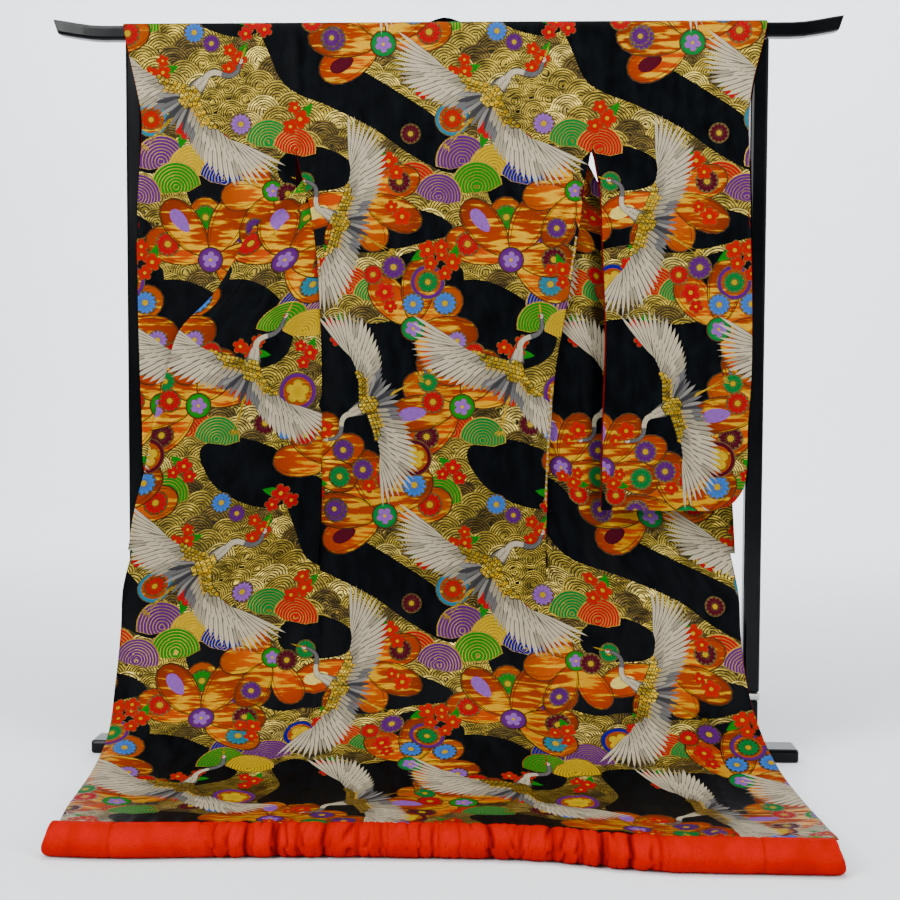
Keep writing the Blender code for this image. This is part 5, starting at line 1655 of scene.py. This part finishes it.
def lit(tree, dye, *ramps):
    """A dye made lighter and darker by values, each taken from one range to another."""
    light = 1.0
    for ramp in ramps:
        light = add(tree, "Math", light, add(tree, "MapRange", *ramp), operation="MULTIPLY")
    return add(tree, "VectorMath", dye, Scale=light, operation="SCALE")


WEFT = 0.0016             # a real weft is 0.4 mm; four times that still reads as thread in a picture
print("threads to the metre, as drawn:", round(1 / WEFT))

# %% Black satin ground
# Shusu satin in black-dyed silk: long floats give it a dark, even face with a low gloss.
def black_satin(tree):
    s, t, cloth = place_on(tree, "cloth")
    threads = ribs(tree, add(tree, "Math", s, 0.35, t, operation="MULTIPLY_ADD"), WEFT)
    depth = cloud(tree, cloth, 46.0, (1.0, 0.4, 1.0))
    shade = add(tree, "Mix", add(tree, "MapRange", depth, 0.35, 0.7), data_type="RGBA",
                n6=linear("#010203"), n7=linear("#05070a"), out=2)
    return add(tree, "BsdfPrincipled", Base_Color=shade, Specular_IOR_Level=0.025,
               Roughness=add(tree, "MapRange", depth, 0.3, 0.7, 0.40, 0.52),
               Normal=add(tree, "Bump", Height=threads, Distance=0.00012, Strength=0.6))


satin_ground = make_material("black_satin_ground", black_satin)
print("ground:", satin_ground.name)

# %% Gold brocade of the waves
# Hon-kin-shi gold thread laid in arcs. The dark lines between the arcs are the satin ground.
# Glints and broad patches of sheen are painted highlights in the gold's colour; the glint noise also sets
# the roughness.
def gold_brocade(tree):
    dye = add(tree, "Attribute", attribute_name="dye")
    ring, _, _ = place_on(tree, "strand")
    s, t, cloth = place_on(tree, "cloth")
    from_middle = from_arc(tree, ring, 0.44)
    gold = add(tree, "MapRange", from_middle, 0.37, 0.24)
    rounded = add(tree, "MapRange", from_middle, 0.44, 0.05)
    wefts = ribs(tree, add(tree, "Math", s, 0.25, t, operation="MULTIPLY_ADD"), WEFT)
    painted_glint = cloud(tree, cloth, 95.0, (0.45, 1.5, 1.0), 3.0)
    sheen_patch = cloud(tree, cloth, 17.0)
    # painted highlights: glint and sheen-patch noise make the gold lighter and darker
    gold_with_painted_glints = lit(tree, dye, (painted_glint, 0.36, 0.68, 0.40, 1.65), (sheen_patch, 0.3, 0.7, 0.50, 1.25),
                    (wefts, 0.0, 1.0, 0.72, 1.08))
    colour = add(tree, "Mix", gold, data_type="RGBA", n6=linear("#0c0903"), n7=gold_with_painted_glints, out=2)
    height = add(tree, "Math", wefts, 0.22, rounded, operation="MULTIPLY_ADD")
    return add(tree, "BsdfPrincipled", Base_Color=colour, Specular_IOR_Level=0.1,
               Metallic=add(tree, "MapRange", gold, 0.0, 1.0, 0.0, 0.88),
               Roughness=add(tree, "MapRange", painted_glint, 0.35, 0.65, 0.46, 0.26),
               Normal=add(tree, "Bump", Height=height, Distance=0.00065))


gold_waves_finish = make_material("gold_leaf_thread_waves", gold_brocade)
print("waves:", gold_waves_finish.name)

# %% Dyed silk, feathers and coloured waves
# Degummed silk floats. The dye gives the colour, and fine ribs run along the strand, with painted shade
# in the grooves between them.
def silk_threads(tree):
    dye = add(tree, "Attribute", attribute_name="dye")
    _, v, strand = place_on(tree, "strand")
    threads = ribs(tree, v, 0.42)
    streak = cloud(tree, strand, 1.6, (0.25, 1.6, 1.0))
    # painted shade between the threads, and random streaks in the dye
    colour = lit(tree, dye, (threads, 0.0, 1.0, 0.74, 1.06), (streak, 0.32, 0.68, 0.72, 1.14))
    return add(tree, "BsdfPrincipled", Base_Color=colour, Roughness=0.50, Specular_IOR_Level=0.012,
               Normal=add(tree, "Bump", Height=threads, Distance=0.00025))


# White silk laid as barbs from a feather's shaft to its edges, where the stitches sink and
# leave a grey line. v is 0 on the shaft and 1 at the feather's widest edge.
def feather_threads(tree):
    dye = add(tree, "Attribute", attribute_name="dye")
    u, v, _ = place_on(tree, "strand")
    across = add(tree, "Math", v, operation="ABSOLUTE")
    barbs = ribs(tree, add(tree, "Math", across, -1.3, u, operation="MULTIPLY_ADD"), 0.42)
    edge = add(tree, "MapRange", across, 0.44, 0.80, 0.0, 0.92)
    shaft = add(tree, "MapRange", across, 0.13, 0.05, 0.0, 0.45)
    dark = add(tree, "Math", edge, shaft, operation="MAXIMUM")
    white = lit(tree, dye, (barbs, 0.0, 1.0, 0.78, 1.10), (u, 0.0, 8.0, 0.70, 1.10))
    shade = add(tree, "Mix", dark, data_type="RGBA", n6=white, n7=linear("#2c2a28"), out=2)
    height = add(tree, "Math", barbs, edge, operation="SUBTRACT")
    return add(tree, "BsdfPrincipled", Base_Color=shade, Roughness=0.46, Specular_IOR_Level=0.06,
               Normal=add(tree, "Bump", Height=height, Distance=0.0003))


# Dyed silk arcs with a thin gold thread between them.
def wave_silk(tree):
    dye = add(tree, "Attribute", attribute_name="dye")
    ring, _, _ = place_on(tree, "strand")
    _, t, _ = place_on(tree, "cloth")
    from_middle = from_arc(tree, ring, 0.5)
    thread = add(tree, "MapRange", from_middle, 0.34, 0.40)
    wefts = ribs(tree, t, WEFT)
    silk = lit(tree, dye, (wefts, 0.0, 1.0, 0.80, 1.06))
    colour = add(tree, "Mix", thread, data_type="RGBA", n6=silk, n7=linear("#6e5c1c"), out=2)
    rounded = add(tree, "MapRange", from_middle, 0.5, 0.1)
    height = add(tree, "Math", wefts, 0.2, rounded, operation="MULTIPLY_ADD")
    return add(tree, "BsdfPrincipled", Base_Color=colour, Specular_IOR_Level=0.012,
               Metallic=add(tree, "MapRange", thread, 0.0, 1.0, 0.0, 0.8),
               Roughness=add(tree, "MapRange", thread, 0.0, 1.0, 0.48, 0.36),
               Normal=add(tree, "Bump", Height=height, Distance=0.00045))


dyed_silk = make_material("dyed_silk_satin_stitch", silk_threads)
feather_silk = make_material("white_silk_feather_stitch", feather_threads)
coloured_waves = make_material("dyed_silk_waves_with_gold_thread", wave_silk)
print("silks:", dyed_silk.name, feather_silk.name, coloured_waves.name)

# %% Gold thread outlines and gilded petals
# Couched gold cord: metal, with the twist showing as short slanted ribs, and small glints painted into
# its colour by noise.
def gold_cord(tree):
    dye = add(tree, "Attribute", attribute_name="dye")
    s, t, cloth = place_on(tree, "cloth")
    twist = ribs(tree, add(tree, "Math", s, t, operation="ADD"), 0.0018)
    painted_glint = cloud(tree, cloth, 120.0)
    # painted glints: noise lightens and darkens the cord's colour
    colour = lit(tree, dye, (twist, 0.0, 1.0, 0.62, 1.1), (painted_glint, 0.35, 0.65, 0.6, 1.15))
    return add(tree, "BsdfPrincipled", Base_Color=colour, Metallic=0.85, Roughness=0.36,
               Normal=add(tree, "Bump", Height=twist, Distance=0.0004))


# Orange silk shot with gold: bright gold wefts show through in streaks along the weft, more of
# them near a petal's root, where u is 0. A fine dark line runs inside the rim: rim is 1 on it.
def gilded_silk(tree):
    dye = add(tree, "Attribute", attribute_name="dye")
    _, t, cloth = place_on(tree, "cloth")
    u, v, _ = place_on(tree, "strand")
    wefts = ribs(tree, t, WEFT)
    drift = cloud(tree, cloth, 60.0, (0.26, 1.6, 1.0), 4.0)
    fewer = add(tree, "MapRange", u, 0.1, 0.9, -0.03, 0.09)
    streaks = add(tree, "MapRange", add(tree, "Math", drift, fewer, operation="SUBTRACT"), 0.47, 0.56)
    gilt = add(tree, "Math", streaks, add(tree, "MapRange", wefts, 0.1, 0.6, 0.35, 1.0),
               operation="MULTIPLY")
    to_tip = add(tree, "Math", 1.0, u, operation="SUBTRACT")
    from_root = add(tree, "Math", add(tree, "Math", u, to_tip, operation="MULTIPLY"), operation="SQRT")
    fuller = add(tree, "Math", u, 0.22, 0.44, operation="MULTIPLY_ADD")
    widest = add(tree, "Math", from_root, fuller, operation="MULTIPLY")
    rim = add(tree, "Math", add(tree, "Math", v, operation="ABSOLUTE"), widest, operation="DIVIDE")
    off_line = add(tree, "Math", rim, 0.84, operation="SUBTRACT")
    inner_line = add(tree, "MapRange", add(tree, "Math", off_line, operation="ABSOLUTE"),
                     0.045, 0.02, 0.0, 0.75)
    colour = lit(tree, dye, (wefts, 0.0, 1.0, 0.74, 1.06), (u, 0.35, 1.0, 1.10, 0.66))
    for share, thread in ((gilt, "#b48a02"), (inner_line, "#3a1a04")):
        colour = add(tree, "Mix", share, data_type="RGBA", n6=colour, n7=linear(thread), out=2)
    height = add(tree, "Math", gilt, 0.6, wefts, operation="MULTIPLY_ADD")
    return add(tree, "BsdfPrincipled", Base_Color=colour, Specular_IOR_Level=0.012,
               Metallic=add(tree, "MapRange", gilt, 0.0, 1.0, 0.0, 0.6),
               Roughness=add(tree, "MapRange", gilt, 0.0, 1.0, 0.46, 0.28),
               Normal=add(tree, "Bump", Height=height, Distance=0.00022))


outline_cord = make_material("couched_gold_cord", gold_cord)
petal_silk = make_material("orange_silk_shot_with_gold", gilded_silk)
finishes = [satin_ground, gold_waves_finish, dyed_silk, coloured_waves, outline_cord, petal_silk,
            feather_silk]                        # in the order of SATIN to FEATHER
print("finishes of the brocade:", [material.name for material in finishes])

# %% Plain silks: lining, padded hem and collar
# Habutae, a plain weave in vermilion silk: close, soft and faintly ribbed. The padded hem's silk also
# takes a painted shade of dark red in its folds.
FOLD_SHADE_COLOUR = "#300000"


def plain_silk(tree, colour, deep, roughness, ripple):
    painted_fold_shade = add(tree, "Attribute", attribute_name="painted_fold_shade", out=2)
    where = add(tree, "TexCoord", out=3)
    x, _, z = add(tree, "SeparateXYZ", where, out=slice(None))
    ribbed = ribs(tree, add(tree, "Math", z, 0.1, x, operation="MULTIPLY_ADD"), WEFT)
    soft = cloud(tree, where, 30.0, (1.0, 0.6, 0.6), 3.0)
    fine = cloud(tree, where, 190.0, (1.6, 0.5, 0.5))
    shade = linear(deep)
    # painted shade: the fold shading darkens the hem roll's silk towards dark red
    for share, silk in ((add(tree, "MapRange", soft, 0.3, 0.7), colour),
                        (add(tree, "MapRange", painted_fold_shade, 0.25, 1.0, 0.0, 0.8), FOLD_SHADE_COLOUR)):
        shade = add(tree, "Mix", share, data_type="RGBA", n6=shade, n7=linear(silk), out=2)
    creased = add(tree, "Math", fine, ripple, operation="MULTIPLY")
    height = add(tree, "Math", ribbed, 0.12, creased, operation="MULTIPLY_ADD")
    return add(tree, "BsdfPrincipled", Base_Color=shade, Roughness=roughness, Specular_IOR_Level=0.004,
               Normal=add(tree, "Bump", Height=height, Distance=0.0008))


lining_silk = make_material("vermilion_habutae_lining", plain_silk, "#6e0300", "#640300", 0.55, 0.2)
fuki_silk = make_material("vermilion_satin_fuki", plain_silk, "#a80400", "#960300", 0.60, 0.9)
collar_satin = make_material("black_satin_collar", plain_silk, "#060708", "#030304", 0.45, 0.2)
print("plain silks:", lining_silk.name, fuki_silk.name, collar_satin.name)

# %% [markdown]
# ## Sheets over the stand
# Each panel is now woven and lined, and its sheets take the place of its solid.

# %% The finishing cord
# Where the side openings end, and down the right side seam, a cord of white and gold twist is
# oversewn on the back's edge. Rows: panel, from and to, in metres down.
CORDS = [("back_right", 0.452, 0.535), ("back_right", 0.760, 1.000), ("back_left", 0.490, 0.532)]
STITCH, STITCH_STEP = 0.0062, 0.0040


def twisted_cord(panel):
    """Short slanted stitches in white and gold along the panel's outer edge."""
    stitches, pen = [], Pen(5)
    for name, start, end in CORDS:
        for k, t in enumerate(np.arange(start, end, STITCH_STEP) if name == panel.name else ()):
            s = panel.side * (float(panel.edges(t)[1]) - STITCH)
            line = leaf((s, t), math.pi / 2 - panel.side * 0.95, STITCH, (0.0017, 0.0017))
            pen.lay(line, THREAD if k % 3 else SILK, "scale" if k % 3 else "white")
            stitches.append(tile.pop())
    return stitches


print("cord rows:", len(CORDS))

# %% Cut and place every panel
made = 0
for name, panel in panels.items():
    brocade = weave(panel, design + twisted_cord(panel), finishes)
    lining = lining_sheet(panel, lining_silk)
    area = panel.flat_area()
    for obj, slot in ((brocade, "brocade"), (lining, "vermilion_silk")):
        hand_over(obj, name)
    made += len(brocade.data.polygons) + 2 * len(lining.data.polygons)
print("triangles in the sheets:", made)

# %% The neck fold
# The collar's black satin fold stands up a little over the shoulder line at the nape.
NECK_DOWN = 0.055         # how far down behind the rod the fold reaches
NECK_OUT = 0.002          # it lies this far outside the fronts
NECK_THICK = 0.0019
neck_half = LEFT_FRONT[0][4] - SEAM_GAP
xs = np.linspace(-neck_half, neck_half, 41)
rows = []
for down in np.linspace(0.0, NECK_DOWN, 26):
    row = place(float(down), xs, DRAPE_HALF, far_side=True)
    row[:, 1] += NECK_OUT + ROD_Y
    row[:, 2] += COLLAR_RISE * np.cos(np.pi * xs / (2 * neck_half)) ** 2 * (1 - ease(down, 0.0, 0.040))
    rows.append(row)
rows = np.array(rows)
outward = np.cross(np.gradient(rows, axis=0), np.gradient(rows, axis=1))
outward /= np.linalg.norm(outward, axis=-1, keepdims=True)
outward *= 1.0 if outward[-1, 20, 1] > 0 else -1.0
folded = np.concatenate((rows, (rows - outward * NECK_THICK)[::-1]))
neck = put("collar_neck_fold", folded.reshape(-1, 3).tolist(), grid_faces(*folded.shape[:2]),
           collar_satin)
hand_over(neck, "collar_neck")
print("neck fold:", len(neck.data.polygons), "faces")

# %% The hem roll's four lengths
left_okumi = -(LEFT_FRONT[-1][4] - LEFT_FRONT[-1][2])
right_okumi = RIGHT_FRONT[-1][4] - RIGHT_FRONT[-1][2]
hem_middle = BACK[-1][1]
for name, left, right in (
    ("fuki_okumi_left", FUKI_LEFT, left_okumi - SEAM_GAP / 2),
    ("fuki_left", left_okumi + SEAM_GAP / 2, hem_middle - SEAM_GAP / 2),
    ("fuki_right", hem_middle + SEAM_GAP / 2, right_okumi - SEAM_GAP / 2),
    ("fuki_okumi_right", right_okumi + SEAM_GAP / 2, FUKI_RIGHT),
):
    obj = roll(name + "_roll", left, right, fuki_silk)
    hand_over(obj, name)
print("hem roll:", round(FUKI_RIGHT - FUKI_LEFT, 3), "m long")

# %% [markdown]
# ## The stand
# The stand is a kimono rack in black urushi lacquer over wood: a rod, two posts, a base bar and
# feet, with a silver band where the upper posts slide into the lower ones. Its solids have the
# right shape, so they stay and only take better finishes.

# %% Lacquer and silver
# Urushi is polished to a deep black gloss. A clear coat over a near-black base gives that, and a
# faint waviness of the polish keeps the reflections from looking like plastic.
def urushi(tree):
    where = add(tree, "TexCoord", out=3)
    polish = cloud(tree, where, 26.0, (1.0, 1.0, 0.3))
    smudge = cloud(tree, where, 9.0, (1.0, 1.0, 0.5), 3.0)
    shade = add(tree, "Mix", add(tree, "MapRange", smudge, 0.3, 0.75), data_type="RGBA",
                n6=linear("#020304"), n7=linear("#050608"), out=2)
    return add(tree, "BsdfPrincipled", Base_Color=shade, Specular_IOR_Level=0.09,
               Coat_Weight=0.06, Coat_Roughness=0.05,
               Roughness=add(tree, "MapRange", smudge, 0.3, 0.7, 0.16, 0.26),
               Normal=add(tree, "Bump", Height=polish, Distance=0.0006, Strength=0.5))


# Rolled nickel silver: pale metal with fine lines round the post.
def silver_band(tree):
    where = add(tree, "TexCoord", out=3)
    lines = ribs(tree, add(tree, "SeparateXYZ", where, out=2), 0.0011)
    wear = cloud(tree, where, 140.0)
    shade = add(tree, "Mix", wear, data_type="RGBA", n6=linear("#9a9a96"), n7=linear("#cfcfca"), out=2)
    return add(tree, "BsdfPrincipled", Base_Color=shade, Metallic=1.0,
               Roughness=add(tree, "MapRange", wear, 0.3, 0.7, 0.22, 0.40),
               Normal=add(tree, "Bump", Height=lines, Distance=0.0002))


lacquer = make_material("black_urushi_lacquer", urushi)
silver = make_material("rolled_silver_band", silver_band)
dressed = 0
for name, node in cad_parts.items():
    if name in ("rod", "base_bar") or name.startswith(("post", "foot", "band")):
        for slot in node.material_slots:
            slot.material = silver if name.startswith("band") else lacquer
        dressed += 1
print("stand pieces dressed:", dressed)

# %% [markdown]
# ## The studio
# A pale paper sweep, two large soft lights in front and one above, two on the paper and a weak
# one behind. Metal thread needs something to reflect, so the lights are large, and those in
# front aren't equally strong.

# %% The paper sweep
WALL_Y = 7.0              # far enough to walk round the stand
WALL_HEIGHT = 7.0
SWEEP_HALF_WIDTH = 9.0
BEND = 2.4


def paper(tree):
    grain = cloud(tree, add(tree, "TexCoord", out=3), 3.0)
    shade = add(tree, "Mix", grain, data_type="RGBA", n6=linear("#e8eef2"), n7=linear("#eef3f7"), out=2)
    return add(tree, "BsdfPrincipled", Base_Color=shade, Roughness=0.9, Specular_IOR_Level=0.2)


profile = [(-WALL_Y, 0.0), (WALL_Y - BEND, 0.0)]
profile += [(WALL_Y - BEND + BEND * math.sin(a), BEND - BEND * math.cos(a))
            for a in np.linspace(0, math.pi / 2, 17)[1:]]
profile += [(WALL_Y, WALL_HEIGHT)]
points = [(x, y, z) for y, z in profile for x in (-SWEEP_HALF_WIDTH, SWEEP_HALF_WIDTH)]
faces = [(2 * i, 2 * i + 1, 2 * i + 3, 2 * i + 2) for i in range(len(profile) - 1)]
sweep = put("studio_sweep", points, faces, make_material("pale_background_paper", paper))
print("sweep faces:", len(faces))

# %% Lights
def area_light(name, stands, aim, size, power):
    data = bpy.data.lights.new(name, "AREA")
    data.shape = "RECTANGLE"
    data.size, data.size_y = size
    data.energy = power
    obj = bpy.data.objects.new(name, data)
    obj.location = stands
    obj.rotation_euler = (Vector(aim) - Vector(stands)).to_track_quat("-Z", "Y").to_euler()
    bpy.context.scene.collection.objects.link(obj)


# Columns: name, place, what it aims at, size, power in watts.
LIGHTS = [
    ("front_left", (-2.4, -3.0, 2.7), (0.0, 0.0, 0.8), (1.6, 2.2), 225),
    ("front_right", (2.9, -2.6, 2.0), (0.0, 0.0, 0.8), (1.6, 2.2), 130),
    ("overhead", (0.0, -0.9, 3.6), (0.0, 0.2, 0.5), (3.0, 1.6), 150),
    ("backdrop_-1", (-2.6, 3.4, 4.2), (-1.6, WALL_Y, 1.2), (2.4, 1.4), 330),
    ("backdrop_1", (2.6, 3.4, 4.2), (1.6, WALL_Y, 1.2), (2.4, 1.4), 330),
    ("behind", (0.0, 3.4, 3.8), (0.0, 0.0, 0.8), (3.0, 1.6), 45),
]
for row in LIGHTS:
    area_light(*row)
world = bpy.data.worlds.new("studio")
world.use_nodes = True
room = world.node_tree.nodes["Background"]
room.inputs["Color"].default_value = linear("#e9edf3")
room.inputs["Strength"].default_value = 0.25
bpy.context.scene.world = world
print("lights:", len(LIGHTS), "and the room")

# %% [markdown]
# ## The camera
# The camera stands three metres back with a short telephoto lens, a little to the right of
# the middle, and is turned slightly left and down.

# %% Camera
CAMERA_PLACE = Vector((0.131033, ROD_Y - 3.0, 0.80))
YAW, PITCH, ROLL = 0.0390416, 0.0539123, 0.0038017
FOCAL, IMAGE_WIDTH = 1452.418, 900           # both in pixels
forward = Vector((-math.sin(YAW) * math.cos(PITCH), math.cos(YAW) * math.cos(PITCH), -math.sin(PITCH)))
right = Vector((math.cos(YAW), math.sin(YAW), 0.0))
up = right.cross(forward)
tilted_right = right * math.cos(ROLL) + up * math.sin(ROLL)
tilted_up = up * math.cos(ROLL) - right * math.sin(ROLL)
lens = bpy.data.cameras.new("camera")
lens.sensor_width = 36.0
lens.lens = lens.sensor_width * FOCAL / IMAGE_WIDTH
camera = bpy.data.objects.new("camera", lens)
camera.matrix_world = (Matrix.Translation(CAMERA_PLACE)
                       @ Matrix((tilted_right, tilted_up, -forward)).transposed().to_4x4())
bpy.context.scene.collection.objects.link(camera)
bpy.context.scene.camera = camera
print("lens:", round(lens.lens, 2), "mm")
